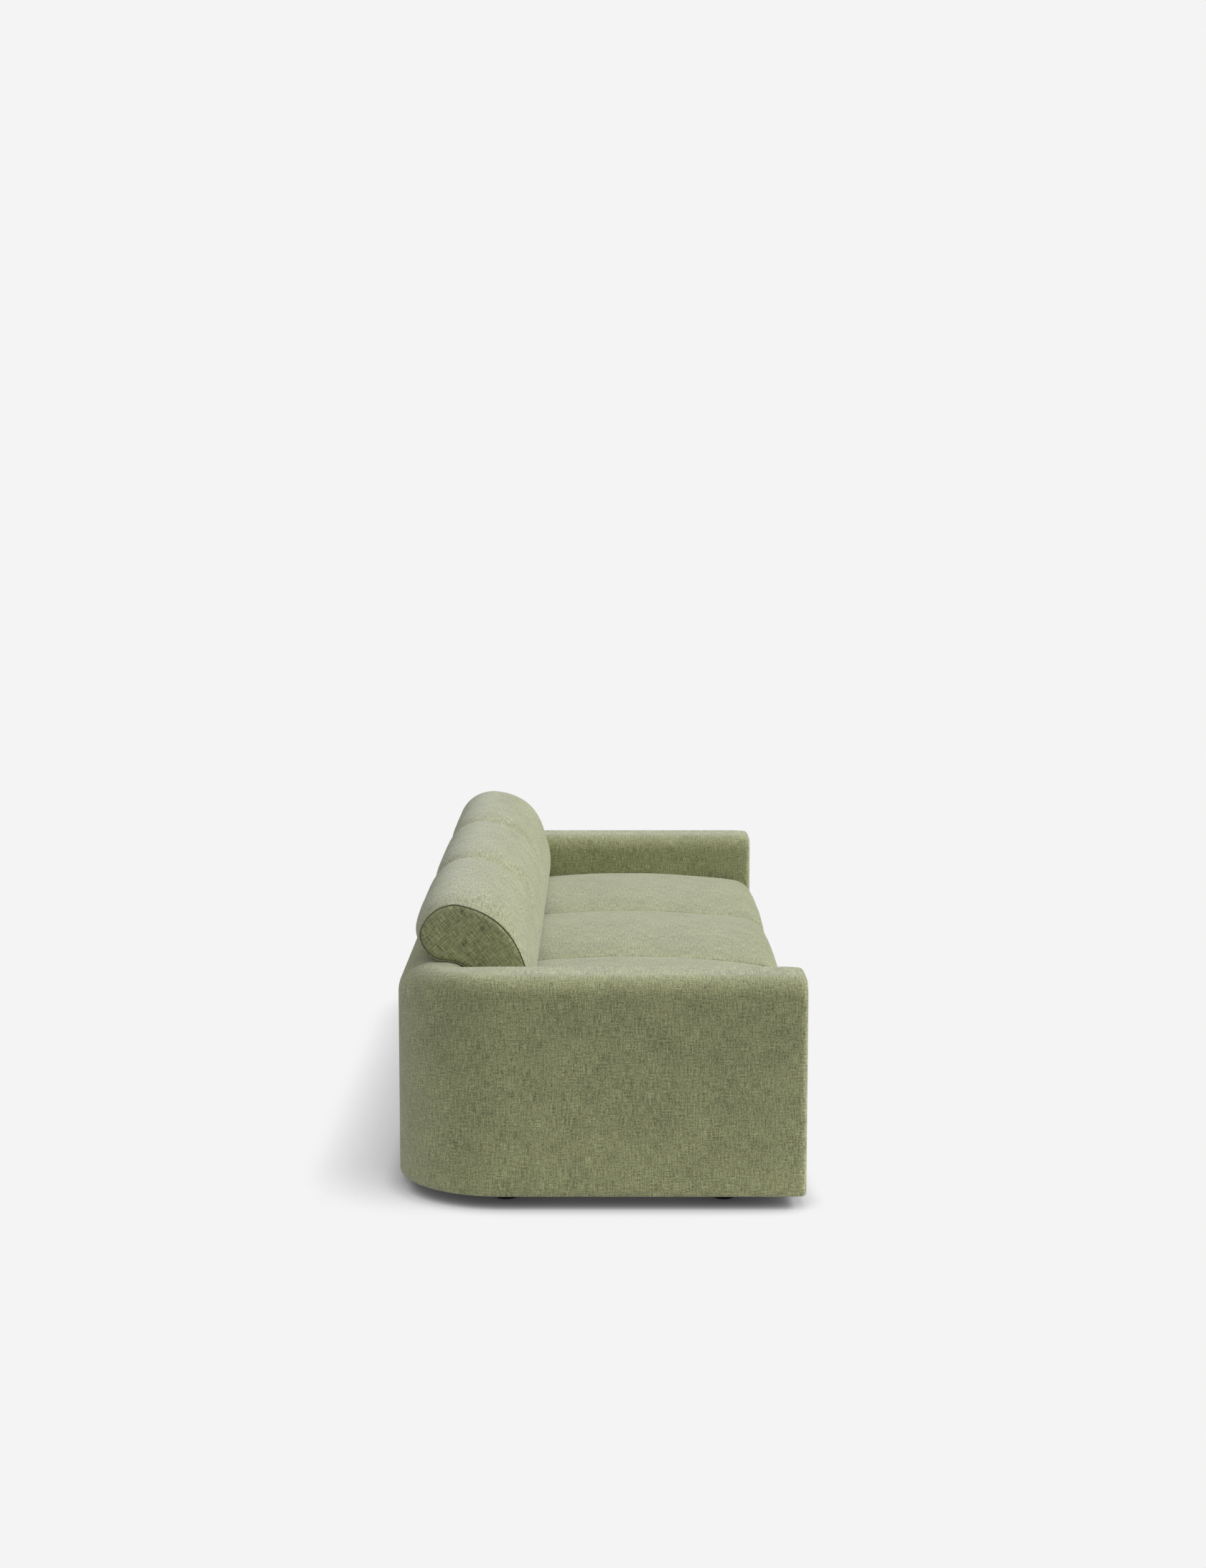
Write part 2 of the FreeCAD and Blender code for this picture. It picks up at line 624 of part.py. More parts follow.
def tongue(label, side, y):
    """A steel plate screwed under an end module, with a tapered tongue past the split."""
    half, taper = "Sizes.tongue_width / 2", "Sizes.tongue_taper"
    tip = "Layout.split_outer - Sizes.tongue_reach"
    shoulder = f"{tip} + {taper}"
    path = [(plate_near, f"{y} - {half}"), (plate_near, f"{y} + {half}"), (shoulder, f"{y} + {half}"),
            (tip, f"{y} + {half} - {taper}"), (tip, f"{y} - {half} + {taper}"), (shoulder, f"{y} - {half}")]
    corners = [(x if side > 0 else f"-({x})", place) for x, place in path]
    blade = plan_body(label + "_blade", corners, "Layout.tongue_bottom", "Sizes.tongue_thickness")
    y_span = (f"{y} - {half}", f"{y} + {half}")
    plate = box(label + "_plate", (plate_near, plate_far), y_span,
                ("Layout.tongue_bottom", "Layout.lining_bottom"), side)
    return fuse(label, plate, blade)


def socket(label, side, y):
    """A hat-shaped steel channel screwed under the middle module, open towards the split."""
    half = "Sizes.tongue_width / 2 + Sizes.fit_gap"
    sheet, top = "Sizes.plate_thickness", "Layout.lining_bottom"
    inner_floor = "Layout.tongue_bottom - Sizes.fit_gap"
    x_span = (f"{socket_mouth} - Sizes.link_length", socket_mouth)
    body = box(label + "_body", x_span, (f"{y} - {half} - {sheet}", f"{y} + {half} + {sheet}"),
               (f"{inner_floor} - {sheet}", top), side)
    flange = f"{half} + {sheet} + Sizes.flange_width"
    wings = box(label + "_wings", x_span, (f"{y} - ({flange})", f"{y} + {flange}"),
                (f"{top} - {sheet}", top), side)
    slot = box(label + "_slot", x_span, (f"{y} - ({half})", f"{y} + {half}"), (inner_floor, top), side)
    return cut(label, fuse(label + "_hat", body, wings), slot)


def screw(label, x, y, head_top):
    """A wood screw driven upwards, its head under the plate."""
    head = cylinder(label + "_head", "Sizes.screw_head_radius", "Sizes.screw_head_height",
                    (x, y, f"{head_top} - Sizes.screw_head_height"))
    length = f"Sizes.floor_gap - ({head_top}) + Sizes.screw_length"
    return fuse(label, head, cylinder(label + "_shank", "Sizes.screw_radius", length, (x, y, head_top)))


def end_connectors(prefix, side):
    """Tongues and their three screws each, set out on the half of the plate under the block."""
    plates, screws = [], []
    rail_edge = "Layout.split_outer + Layout.rail_inset + Sizes.board_thickness"
    near_x = f"{rail_edge} + Sizes.screw_head_radius"
    far_x = f"{plate_far} - 2 * Sizes.screw_head_radius"
    spread = "Sizes.tongue_width / 4"
    for row, y in LINK_ROWS:
        plates.append(tongue(f"{prefix}_tongue_{row}", side, y))
        spots = ((near_x, f"{y} - {spread}"), (near_x, f"{y} + {spread}"), (far_x, y))
        for number, (x, place) in enumerate(spots, 1):
            label = f"{prefix}_screw_{row}_{number}"
            screws.append(screw(label, f"{side} * ({x})", place, "Layout.tongue_bottom"))
    group(prefix + "_connectors", plates)
    group(prefix + "_connector_screws", screws)


def centre_connectors():
    """Two sockets at each split and their four screws each."""
    plates, screws = [], []
    flange_y = "Sizes.tongue_width / 2 + Sizes.fit_gap + Sizes.plate_thickness + Sizes.flange_width / 2"
    rail_edge = "Layout.split_inner - Layout.rail_inset - Sizes.board_thickness"
    near_x = f"{rail_edge} - Sizes.screw_head_radius"
    far_x = f"{socket_mouth} - Sizes.link_length + 2 * Sizes.screw_head_radius"
    under_flange = "Layout.lining_bottom - Sizes.plate_thickness"
    for name, side in END_MODULES:
        for row, y in LINK_ROWS:
            plates.append(socket(f"centre_socket_{name}_{row}", side, y))
            spots = [(x, f"{y} {sign} ({flange_y})") for x in (near_x, far_x) for sign in "+-"]
            for number, (x, place) in enumerate(spots, 1):
                label = f"centre_screw_{name}_{row}_{number}"
                screws.append(screw(label, f"{side} * ({x})", place, under_flange))
    group("centre_connectors", plates)
    group("centre_connector_screws", screws)


for prefix, side in END_MODULES:
    end_connectors(prefix, side)
centre_connectors()


# Cushion and bolster forms: lofts along X through sections of lines and arcs

def section(x, start, steps):
    """A closed section at x. Each step is (end,) for a line or (middle, end) for an arc, as (y, z)."""
    def point(place):
        return FreeCAD.Vector(x, *place)

    edges, here = [], start
    for step in steps:
        end = step[-1]
        if len(step) == 1:
            edges.append(Part.LineSegment(point(here), point(end)).toShape())
        else:
            edges.append(Part.Arc(point(here), point(step[0]), point(end)).toShape())
        here = end
    return Part.Wire(edges)


def upright_arc_middle(tangent, end):
    """Middle of the arc that leaves the point tangent upright and goes to end."""
    reach, rise = end[0] - tangent[0], end[1] - tangent[1]
    radius = (reach * reach + rise * rise) / (2 * reach)
    centre = (tangent[0] + radius, tangent[1])
    half_turn = math.atan2(rise, radius - reach) / 2
    return centre[0] - radius * math.cos(half_turn), centre[1] + radius * math.sin(half_turn)


def quarter_middle(centre, radius, degrees):
    angle = math.radians(degrees)
    return centre[0] + radius * math.cos(angle), centre[1] + radius * math.sin(angle)


def bulged_middle(start, end, bulge):
    """Middle of an arc from start to end that stands off its chord on the left by bulge."""
    along = (end[0] - start[0], end[1] - start[1])
    length = math.hypot(*along)
    return ((start[0] + end[0]) / 2 - bulge * along[1] / length,
            (start[1] + end[1]) / 2 + bulge * along[0] / length)


def loft_feature(label, wires):
    piece = doc.addObject("Part::Feature", label)
    piece.Shape = Part.makeLoft(wires, True, False)
    return piece


def seat_section(x, swell, inset):
    """Section of a seat cushion: crowned top, rounded front, flat rear and underside."""
    front = value("-Layout.half_depth + Sizes.seat_setback") + value("Sizes.seat_draw") * (1 - swell) + inset
    rear = value("Layout.back_inner - Sizes.seat_rear_gap") - inset
    bottom = value("Sizes.deck_height + Sizes.slide_gap") + inset
    crest = value("Sizes.seat_height") - value("Sizes.seat_crown") * (1 - swell) - inset
    nose = (front, crest - value("Sizes.nose_height"))
    brow = (front + value("Sizes.nose_depth"), crest - value("Sizes.nose_drop"))
    toe = (front + value("Sizes.seat_tuck"), bottom)
    heel_round = value("Sizes.heel_round")
    heel_top = (rear - heel_round, crest - value("Sizes.heel_drop"))
    heel = (rear, heel_top[1] - heel_round)
    crown = ((brow[0] + heel_top[0]) / 2, crest)
    heel_middle = quarter_middle((heel_top[0], heel[1]), heel_round, 45)
    return section(x, (rear, bottom), [
        (toe,),
        (upright_arc_middle(nose, toe), nose),
        (upright_arc_middle(nose, brow), brow),
        (crown, heel_top),
        (heel_middle, heel),
        ((rear, bottom),),
    ])


def bolster_section(x, swell, inset):
    """Section of a back bolster, which hooks over the rounded inner edge of the back."""
    swollen = value("Sizes.bolster_swell") * swell - inset
    gap = value("Sizes.slide_gap") + inset
    wall, top = value("Layout.back_inner"), value("Layout.arm_height")
    rounding = value("Sizes.top_round")
    face = wall - gap
    ledge_z = top + gap
    hook = (wall + rounding, top - rounding)
    foot_z = value("Layout.bolster_foot") + inset
    toe = (wall - value("Sizes.bolster_toe") - swollen, foot_z)
    front = (wall - value("Sizes.bolster_front") - swollen, top)
    crest = (value("Layout.half_depth - Sizes.bolster_top_back"), top + value("Sizes.bolster_rise") + swollen)
    nose = (value("Layout.half_depth - Sizes.bolster_nose") + swollen / 2,
            top + value("Sizes.bolster_nose_rise"))
    ledge = (hook[0] + value("Sizes.bolster_ledge") - inset, ledge_z)
    puff = swollen / 3
    return section(x, (face, foot_z), [
        (toe,),
        (bulged_middle(toe, front, value("Sizes.shin_bulge") + max(puff, 0)), front),
        (bulged_middle(front, crest, value("Sizes.chest_bulge") + puff), crest),
        (bulged_middle(crest, nose, value("Sizes.shoulder_bulge") + puff), nose),
        (bulged_middle(nose, ledge, value("Sizes.under_bulge") + puff), ledge),
        ((hook[0], ledge_z),),
        (quarter_middle(hook, rounding + gap, 135), (face, hook[1])),
        ((face, foot_z),),
    ])


SEAT_STATIONS = (-1, -0.6, 0, 0.6, 1)
BOLSTER_STATIONS = (-1, -0.94, -0.5, 0, 0.5, 0.94, 1)


def seat_swell(station):
    return 1 - station ** 2


def bolster_swell(station):
    return math.sqrt(1 - station ** 4)


def soft_form(label, middle, half_length, stations, swell, make_section, inset):
    reach = half_length - inset
    wires = [make_section(middle + station * reach, swell(station), inset) for station in stations]
    return loft_feature(label, wires)


def padded_piece(name, fill, middle, stations, swell, make_section):
    """A fabric skin and the fill inside it."""
    half_length = value("Sizes.seat_width / 2 - Sizes.seat_side_gap")
    skin = value("Sizes.skin_thickness")
    forms = [soft_form(f"{name}_{part}", middle, half_length, stations, swell, make_section, inset)
             for part, inset in (("outside", 0), ("inside", skin))]
    sub_part(cut(name + "_cover", *forms))
    sub_part(soft_form(f"{name}_{fill}", middle, half_length, stations, swell, make_section,
                       skin + value("Sizes.fit_gap")))


# Zips: tape with teeth sewn to a cover, and a slider that runs along the teeth

def zip_pieces(name, middle, across, face, outward):
    """across is (axis, expression) for the zip's centre line, face the cover's plane, and outward
    '+y' or '-z', the way that the zip stands off the cover."""
    sign, normal = outward[0], outward[1]
    axis, line = across
    half = "Layout.zip_half"

    def raised(low, high):
        spans = (f"{face} + ({low})", f"{face} + ({high})")
        return spans if sign == "+" else (f"{face} - ({high})", f"{face} - ({low})")

    def strip(label, x_span, width, low, high, shift="0"):
        spans = {axis: (f"{line} + {shift} - ({width}) / 2", f"{line} + {shift} + ({width}) / 2"),
                 normal: raised(low, high)}
        return box(label, x_span, spans["y"], spans["z"])

    tape_top = "Sizes.tape_thickness"
    chain_top = f"{tape_top} + Sizes.chain_height"
    long = (f"{middle} - {half}", f"{middle} + {half}")
    tape = strip(name + "_tape", long, "Sizes.tape_width", "0", tape_top)
    chain = strip(name + "_chain", long, "Sizes.chain_width", tape_top, chain_top)
    sub_part(fuse(name, tape, chain))
    start = (f"{middle} - {half}", f"{middle} - {half} + Sizes.slider_length")
    shell_low = f"{tape_top} + Sizes.slider_gap"
    shell_high = f"{tape_top} + Sizes.slider_height"
    shell = strip(name + "_slider_shell", start, "Sizes.slider_width", shell_low, shell_high)
    groove = strip(name + "_slider_groove", start, "Sizes.chain_width + 2 * Sizes.slider_gap",
                   shell_low, f"{chain_top} + Sizes.slider_gap")
    tab_x = (f"{start[1]} - Sizes.tab_width", start[1])
    tab_shift = "-Sizes.tab_length / 2 + Sizes.slider_width / 2"
    tab = strip(name + "_slider_tab", tab_x, "Sizes.tab_length", shell_high,
                f"{shell_high} + Sizes.tab_thickness", tab_shift)
    sub_part(fuse(name + "_slider", cut(name + "_slider_body", shell, groove), tab))


for place, prefix in enumerate(MODULES):
    column = f"({place} - 1) * Sizes.seat_width"
    padded_piece(prefix + "_seat", "foam", value(column), SEAT_STATIONS, seat_swell, seat_section)
    zip_pieces(prefix + "_seat_zip", column, ("z", "Sizes.zip_height"),
               "Layout.back_inner - Sizes.seat_rear_gap", "+y")
    padded_piece(prefix + "_bolster", "filling", value(column), BOLSTER_STATIONS, bolster_swell,
                 bolster_section)
    zip_pieces(prefix + "_bolster_zip", column, ("y", "Layout.back_inner - Sizes.zip_setback"),
               "Layout.bolster_foot", "-z")


# Check every object, then write one STEP file for each sub-part

doc.recompute()
for item in doc.Objects:
    if "Invalid" in item.State or "Error" in item.State:
        raise RuntimeError(f"{item.Label} failed: {item.State}")
for piece in sub_parts:
    if piece.Shape.isNull() or not piece.Shape.isValid() or not piece.Shape.Solids:
        raise RuntimeError(f"{piece.Label} has no valid shape")
os.makedirs("parts", exist_ok=True)
for piece in sub_parts:
    piece.Shape.exportStep(f"parts/{piece.Label}.step")
print(len(sub_parts), "sub-parts written")
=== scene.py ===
"""Looks of the three-seat modular sofa: woven velvet over padded arms and backs, loose seat
cushions and bolsters, and the finish of the pieces inside. Metres, in the frame of the part."""

import math
from typing import NamedTuple

import bpy
import numpy as np
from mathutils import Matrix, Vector, noise


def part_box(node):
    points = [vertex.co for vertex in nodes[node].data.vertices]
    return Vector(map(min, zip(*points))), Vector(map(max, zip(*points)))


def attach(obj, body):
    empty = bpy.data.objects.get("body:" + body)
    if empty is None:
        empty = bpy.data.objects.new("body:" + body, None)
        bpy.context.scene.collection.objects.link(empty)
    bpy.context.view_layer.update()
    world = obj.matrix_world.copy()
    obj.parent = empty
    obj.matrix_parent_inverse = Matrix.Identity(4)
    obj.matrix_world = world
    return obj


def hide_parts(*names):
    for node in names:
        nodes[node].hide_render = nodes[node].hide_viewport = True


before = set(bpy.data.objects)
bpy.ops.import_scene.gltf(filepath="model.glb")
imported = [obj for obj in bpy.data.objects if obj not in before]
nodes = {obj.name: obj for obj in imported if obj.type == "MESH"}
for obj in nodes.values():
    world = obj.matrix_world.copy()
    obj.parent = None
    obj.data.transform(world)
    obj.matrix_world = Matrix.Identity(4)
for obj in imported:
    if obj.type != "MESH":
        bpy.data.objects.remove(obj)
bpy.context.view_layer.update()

MODULES = ("left", "centre", "right")

# Places that come from the frame

arm_low, arm_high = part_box("right_surround_cover")
back_low, back_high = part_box("centre_back_cover")
seat_low, seat_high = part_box("centre_seat_cover")
bolster_low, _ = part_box("centre_bolster_cover")
FULLNESS = 0.002
CUSHION_FULLNESS = 0.0012
FRONT, BACK = arm_low.y - FULLNESS, arm_high.y + FULLNESS
HALF_WIDTH, SPLIT, CENTRE_SPLIT = arm_high.x + FULLNESS, arm_low.x, back_high.x
HEM, ARM_TOP = arm_low.z, arm_high.z
BACK_INNER = back_low.y
THICKNESS = BACK - BACK_INNER
ARM_INNER = HALF_WIDTH - THICKNESS
SEAT_PITCH = SPLIT + CENTRE_SPLIT
CUSHION_HALF = seat_high.x + CUSHION_FULLNESS

# Upholstered edges of arms and backs

CORNER_RADIUS = 0.262
TOP_ROUND = 0.05
BACK_ROUND = 0.07
BACK_SLUMP = 0.03
HEM_ROUND = 0.008
HEM_TURN = 0.016
FRONT_EDGE = {"radius": 0.016, "puff": 0.0004, "lead": 0.002}
SPLIT_EDGE = {"radius": 0.006, "puff": 0.001, "lead": 0.0}
LEAD_LENGTH = 0.06
PUFF_REACH = 0.03
END_SLIT = 0.002
STATION_STEP = 0.015
HEM_ROWS, WALL_ROWS, ROUND_ROWS, TOP_ROWS = 5, 26, 11, 9
END_RINGS, EDGE_RINGS, CORNER_RINGS = 9, 8, 29
ON_END_FACE = 1.5

# Cushions and bolsters

RING_POINTS = 104
OUTLINE_FINENESS = 3
CURVE_POINTS = 60
RING_STEP = 0.02
RIM = 0.011
SEAM_WIDTH = 0.0012
SEAM_RISE = (0.9, 0.85)
SEAT_SEAM = {"turn": 80, "depth": 0.0016, "edge": 0.004}
BOLSTER_SEAM = {"turn": 55, "depth": 0.005, "edge": 0.011}
PANEL_EDGE_SHARES = (0.16, 0.32, 0.55, 0.8, 1)
PANEL_SHARES = (0.95, 0.88, 0.75, 0.6, 0.42, 0.22, 0.08)
HELD_FROM = 0.3
RUN_STEP = 0.2
# Finish numbers of a cushion's faces: cover, end panel, and the seam groove, which has the painted seam
# shade.
ON_COVER, ON_PANEL, ON_SEAM = 0, 1, 2
SEAT_FALL = 0.016
SEAT_DRAW = 0.005
SEAT_TUCK, SEAT_CHIN, SEAT_NOSE = 0.012, 0.06, 0.07
SEAT_CHEEK, SEAT_BROW, SEAT_EDGE = 0.038, 0.048, 0.024
SEAT_SOFTENING = 8
SEAT_FORWARD = {"left": 0.0005, "centre": 0.01, "right": 0.0125}
BOLSTER_SWELL = 0.022
BOLSTER_FALL = 0.0172
CHEST_SWELL = 0.0075
BOLSTER_TOE, BOLSTER_FRONT = 0.134, 0.12
BOLSTER_CREST, BOLSTER_NOSE = (0.043, 0.137), (0.1265, 0.072)
BOLSTER_LEDGE = 0.012
BOLSTER_BULGES = {"foot": 0.006, "shoulder": 0.0296, "top": 0.019, "underside": 0.012}
SHOULDER_SHARE, CREST_SHARE = 2.8, 1.2
PUFF_LOSS = 0.0025
BOLSTER_SOFTENING = 6
HOOK_GAP = 0.0004
HOLLOW_SIZE, HOLLOW_DEPTH = 0.11, 0.0012
AIR_PRESSURE = 4
CLOTH_FRAMES = 16
SEAT_FREE_HEIGHTS, SEAT_FREE_AHEAD = (0.02, 0.1), (0.05, 0.01)
BOLSTER_FREE_HEIGHTS = (0.01, 0.05)
HOOK_IN, HOOK_DOWN, HOOK_REACH = 0.01, 0.03, (0.07, 0.12)


# Shader nodes

def node(tree, kind, inputs=None, **settings):
    """A shader node; an input is a constant or another node's output."""
    made = tree.nodes.new(kind)
    for name, value in settings.items():
        setattr(made, name, value)
    for name, value in (inputs or {}).items():
        if isinstance(value, bpy.types.NodeSocket):
            tree.links.new(value, made.inputs[name])
        else:
            made.inputs[name].default_value = value
    return made


def maths(tree, operation, *values):
    made = node(tree, "ShaderNodeMath", operation=operation)
    for number, value in enumerate(values):
        if isinstance(value, bpy.types.NodeSocket):
            tree.links.new(value, made.inputs[number])
        else:
            made.inputs[number].default_value = value
    return made.outputs[0]


def stretched(tree, coordinate, scale, turn=0.0):
    mapping = node(tree, "ShaderNodeMapping", {"Vector": coordinate, "Scale": scale,
                                               "Rotation": (0, 0, turn)})
    return mapping.outputs["Vector"]


def speckle(tree, coordinate, scale=1.0, detail=2.0, roughness=0.5, dimensions="3D"):
    texture = node(tree, "ShaderNodeTexNoise", noise_dimensions=dimensions)
    tree.links.new(coordinate, texture.inputs["Vector"])
    texture.inputs["Scale"].default_value = scale
    texture.inputs["Detail"].default_value = detail
    texture.inputs["Roughness"].default_value = roughness
    return texture.outputs["Fac"]


def mixed(tree, parts):
    """Sum of noises about their middle: parts are (weight, value); the result is about one half."""
    total = 0.5
    for weight, value in parts:
        centred = maths(tree, "SUBTRACT", value, 0.5)
        total = maths(tree, "MULTIPLY_ADD", centred, weight, total)
    return total


def ramp(tree, value, stops):
    made = node(tree, "ShaderNodeValToRGB", {"Fac": value})
    elements = made.color_ramp.elements
    while len(elements) < len(stops):
        elements.new(0.5)
    for element, (place, colour) in zip(elements, stops):
        element.position = place
        element.color = (*colour, 1)
    return made.outputs["Color"]


def bump(tree, height, strength, distance):
    made = node(tree, "ShaderNodeBump", {"Height": height, "Strength": strength, "Distance": distance})
    return made.outputs["Normal"]


def new_material(name):
    material = bpy.data.materials.new(name)
    material.use_nodes = True
    tree = material.node_tree
    return material, tree, tree.nodes["Principled BSDF"]


def shaded(colour, factor):
    return tuple(channel * factor for channel in colour)


# Fabric: a heathered velvet with slubs along both threads and a brushed pile. The copies for the seats, the
# end panels and the seam grooves have painted shade in their base colour, and the copy for the bolsters has
# painted sheen.

PILE = (0.333, 0.348, 0.179)
# The seats' base colour is the velvet's own, a little darker: painted shade.
SEAT_PILE_WITH_PAINTED_SHADE = (0.315, 0.33, 0.172)
# The bolsters' base colour is the velvet's own, lighter and bluer: painted sheen.
BOLSTER_PILE_WITH_PAINTED_SHEEN = (0.35, 0.364, 0.216)
PILE_DARK, PILE_LIGHT = 0.35, 1.75
YARN = 0.0028
SLUB = 0.03
GRAIN = 0.004
PILE_PATCH, PATCH_WEIGHT, PATCH_PUSH = 0.075, 0.42, 0.9
KNUCKLE_HEIGHT = 0.12
BUMP_STRENGTH, BUMP_DISTANCE = 0.6, 0.0012


def fabric(name, pile=PILE, turn=0.0, warp_weight=0.82, weft_weight=0.6, grain_weight=1.35):
    """Turned cloth shows its threads across the piece; the weights tell how far each one stands out."""
    material, tree, shader = new_material(name)
    uv = node(tree, "ShaderNodeUVMap", uv_map="weave").outputs["UV"]
    place = node(tree, "ShaderNodeTexCoord").outputs["Object"]
    weave = stretched(tree, uv, (1, 1, 1), turn)
    warp = speckle(tree, stretched(tree, weave, (1 / YARN, 1 / SLUB, 1)), detail=3, dimensions="2D")
    weft = speckle(tree, stretched(tree, weave, (1 / SLUB, 1 / YARN, 1)), detail=3, dimensions="2D")
    grain = speckle(tree, weave, 1 / GRAIN, detail=3, roughness=0.7, dimensions="2D")
    threads = mixed(tree, ((1, warp), (1, weft)))
    drift = node(tree, "ShaderNodeVectorMath", operation="SCALE",
                 inputs={"Vector": place, "Scale": 1 / PILE_PATCH}).outputs["Vector"]
    pushed = node(tree, "ShaderNodeVectorMath", operation="ADD", inputs={0: drift}).inputs[1]
    tree.links.new(maths(tree, "MULTIPLY", threads, PATCH_PUSH), pushed)
    patches = speckle(tree, pushed.node.outputs["Vector"], detail=4, roughness=0.6)
    fibres = mixed(tree, ((warp_weight, warp), (weft_weight, weft), (grain_weight, grain)))
    tone = maths(tree, "MULTIPLY_ADD", maths(tree, "SUBTRACT", patches, 0.5), PATCH_WEIGHT, fibres)
    colour = ramp(tree, tone, ((0.05, shaded(pile, PILE_DARK)), (0.5, pile),
                               (0.95, shaded(pile, PILE_LIGHT))))
    yarns = node(tree, "ShaderNodeSeparateXYZ", {0: stretched(tree, weave, (math.tau / YARN,) * 3)})
    knuckles = maths(tree, "MULTIPLY", maths(tree, "SINE", yarns.outputs["X"]),
                     maths(tree, "SINE", yarns.outputs["Y"]))
    height = maths(tree, "MULTIPLY_ADD", knuckles, KNUCKLE_HEIGHT, fibres)
    tree.links.new(colour, shader.inputs["Base Color"])
    tree.links.new(bump(tree, height, BUMP_STRENGTH, BUMP_DISTANCE), shader.inputs["Normal"])
    shader.inputs["Roughness"].default_value = 0.95
    shader.inputs["Specular IOR Level"].default_value = 0.15
    shader.inputs["Sheen Weight"].default_value = 0.43
    shader.inputs["Sheen Roughness"].default_value = 0.57
    shader.inputs["Sheen Tint"].default_value = (0.92, 0.93, 0.95, 1)
    return material


# Finishes of the pieces inside

def plywood():
    material, tree, shader = new_material("plywood")
    place = node(tree, "ShaderNodeTexCoord").outputs["Object"]
    grain = speckle(tree, stretched(tree, place, (6, 55, 55)), detail=6, roughness=0.65)
    pores = speckle(tree, stretched(tree, place, (60, 700, 700)), detail=2)
    tone = mixed(tree, ((1.2, grain), (0.4, pores)))
    colour = ramp(tree, tone, ((0.25, (0.42, 0.27, 0.14)), (0.5, (0.6, 0.43, 0.25)),
                               (0.75, (0.72, 0.56, 0.36))))
    tree.links.new(colour, shader.inputs["Base Color"])
    tree.links.new(bump(tree, tone, 0.2, 0.0005), shader.inputs["Normal"])
    shader.inputs["Roughness"].default_value = 0.62
    return material


def belt_cloth():
    material, tree, shader = new_material("belt_cloth")
    uv = node(tree, "ShaderNodeUVMap", uv_map="weave").outputs["UV"]
    axes = node(tree, "ShaderNodeSeparateXYZ", {0: uv})
    ribs = maths(tree, "SINE", maths(tree, "MULTIPLY", axes.outputs["X"], math.tau / 0.0022))
    stripes = maths(tree, "SINE", maths(tree, "MULTIPLY", axes.outputs["Y"], math.tau / 0.012))
    fuzz = speckle(tree, uv, 900, detail=2, dimensions="2D")
    tone = mixed(tree, ((0.6, fuzz),))
    tone = maths(tree, "MULTIPLY_ADD", ribs, 0.06, tone)
    tone = maths(tree, "MULTIPLY_ADD", maths(tree, "GREATER_THAN", stripes, 0.75), 0.3, tone)
    colour = ramp(tree, tone, ((0.3, (0.03, 0.03, 0.028)), (0.6, (0.075, 0.07, 0.062)),
                               (0.9, (0.22, 0.2, 0.16))))
    tree.links.new(colour, shader.inputs["Base Color"])
    tree.links.new(bump(tree, ribs, 0.35, 0.0006), shader.inputs["Normal"])
    shader.inputs["Roughness"].default_value = 0.88
    return material


def lining_cloth():
    material, tree, shader = new_material("lining_cloth")
    place = node(tree, "ShaderNodeTexCoord").outputs["Object"]
    fibres = speckle(tree, place, 260, detail=5, roughness=0.7)
    dots = node(tree, "ShaderNodeTexVoronoi", {"Vector": place, "Scale": 450}).outputs["Distance"]
    tone = mixed(tree, ((0.9, fibres), (0.25, dots)))
    colour = ramp(tree, tone, ((0.2, (0.012, 0.012, 0.013)), (0.8, (0.055, 0.055, 0.057))))
    tree.links.new(colour, shader.inputs["Base Color"])
    tree.links.new(bump(tree, tone, 0.3, 0.0005), shader.inputs["Normal"])
    shader.inputs["Roughness"].default_value = 0.9
    return material


def moulded_plastic():
    material, tree, shader = new_material("moulded_plastic")
    place = node(tree, "ShaderNodeTexCoord").outputs["Object"]
    pebble = speckle(tree, place, 900, detail=2)
    wear = speckle(tree, place, 60, detail=4)
    colour = ramp(tree, wear, ((0.35, (0.01, 0.01, 0.011)), (0.7, (0.024, 0.024, 0.025))))
    tree.links.new(colour, shader.inputs["Base Color"])
    tree.links.new(bump(tree, pebble, 0.25, 0.0004), shader.inputs["Normal"])
    shader.inputs["Roughness"].default_value = 0.48
    return material


def zinc_steel(name, brightness):
    material, tree, shader = new_material(name)
    place = node(tree, "ShaderNodeTexCoord").outputs["Object"]
    bloom = speckle(tree, place, 120, detail=4, roughness=0.6)
    brushed = speckle(tree, stretched(tree, place, (150, 2500, 2500)), detail=2)
    colour = ramp(tree, bloom, ((0.3, shaded((0.5, 0.51, 0.53), brightness)),
                                (0.7, shaded((0.68, 0.69, 0.7), brightness))))
    tree.links.new(colour, shader.inputs["Base Color"])
    tree.links.new(maths(tree, "MULTIPLY_ADD", brushed, 0.3, 0.22), shader.inputs["Roughness"])
    tree.links.new(bump(tree, brushed, 0.1, 0.0002), shader.inputs["Normal"])
    shader.inputs["Metallic"].default_value = 1.0
    return material


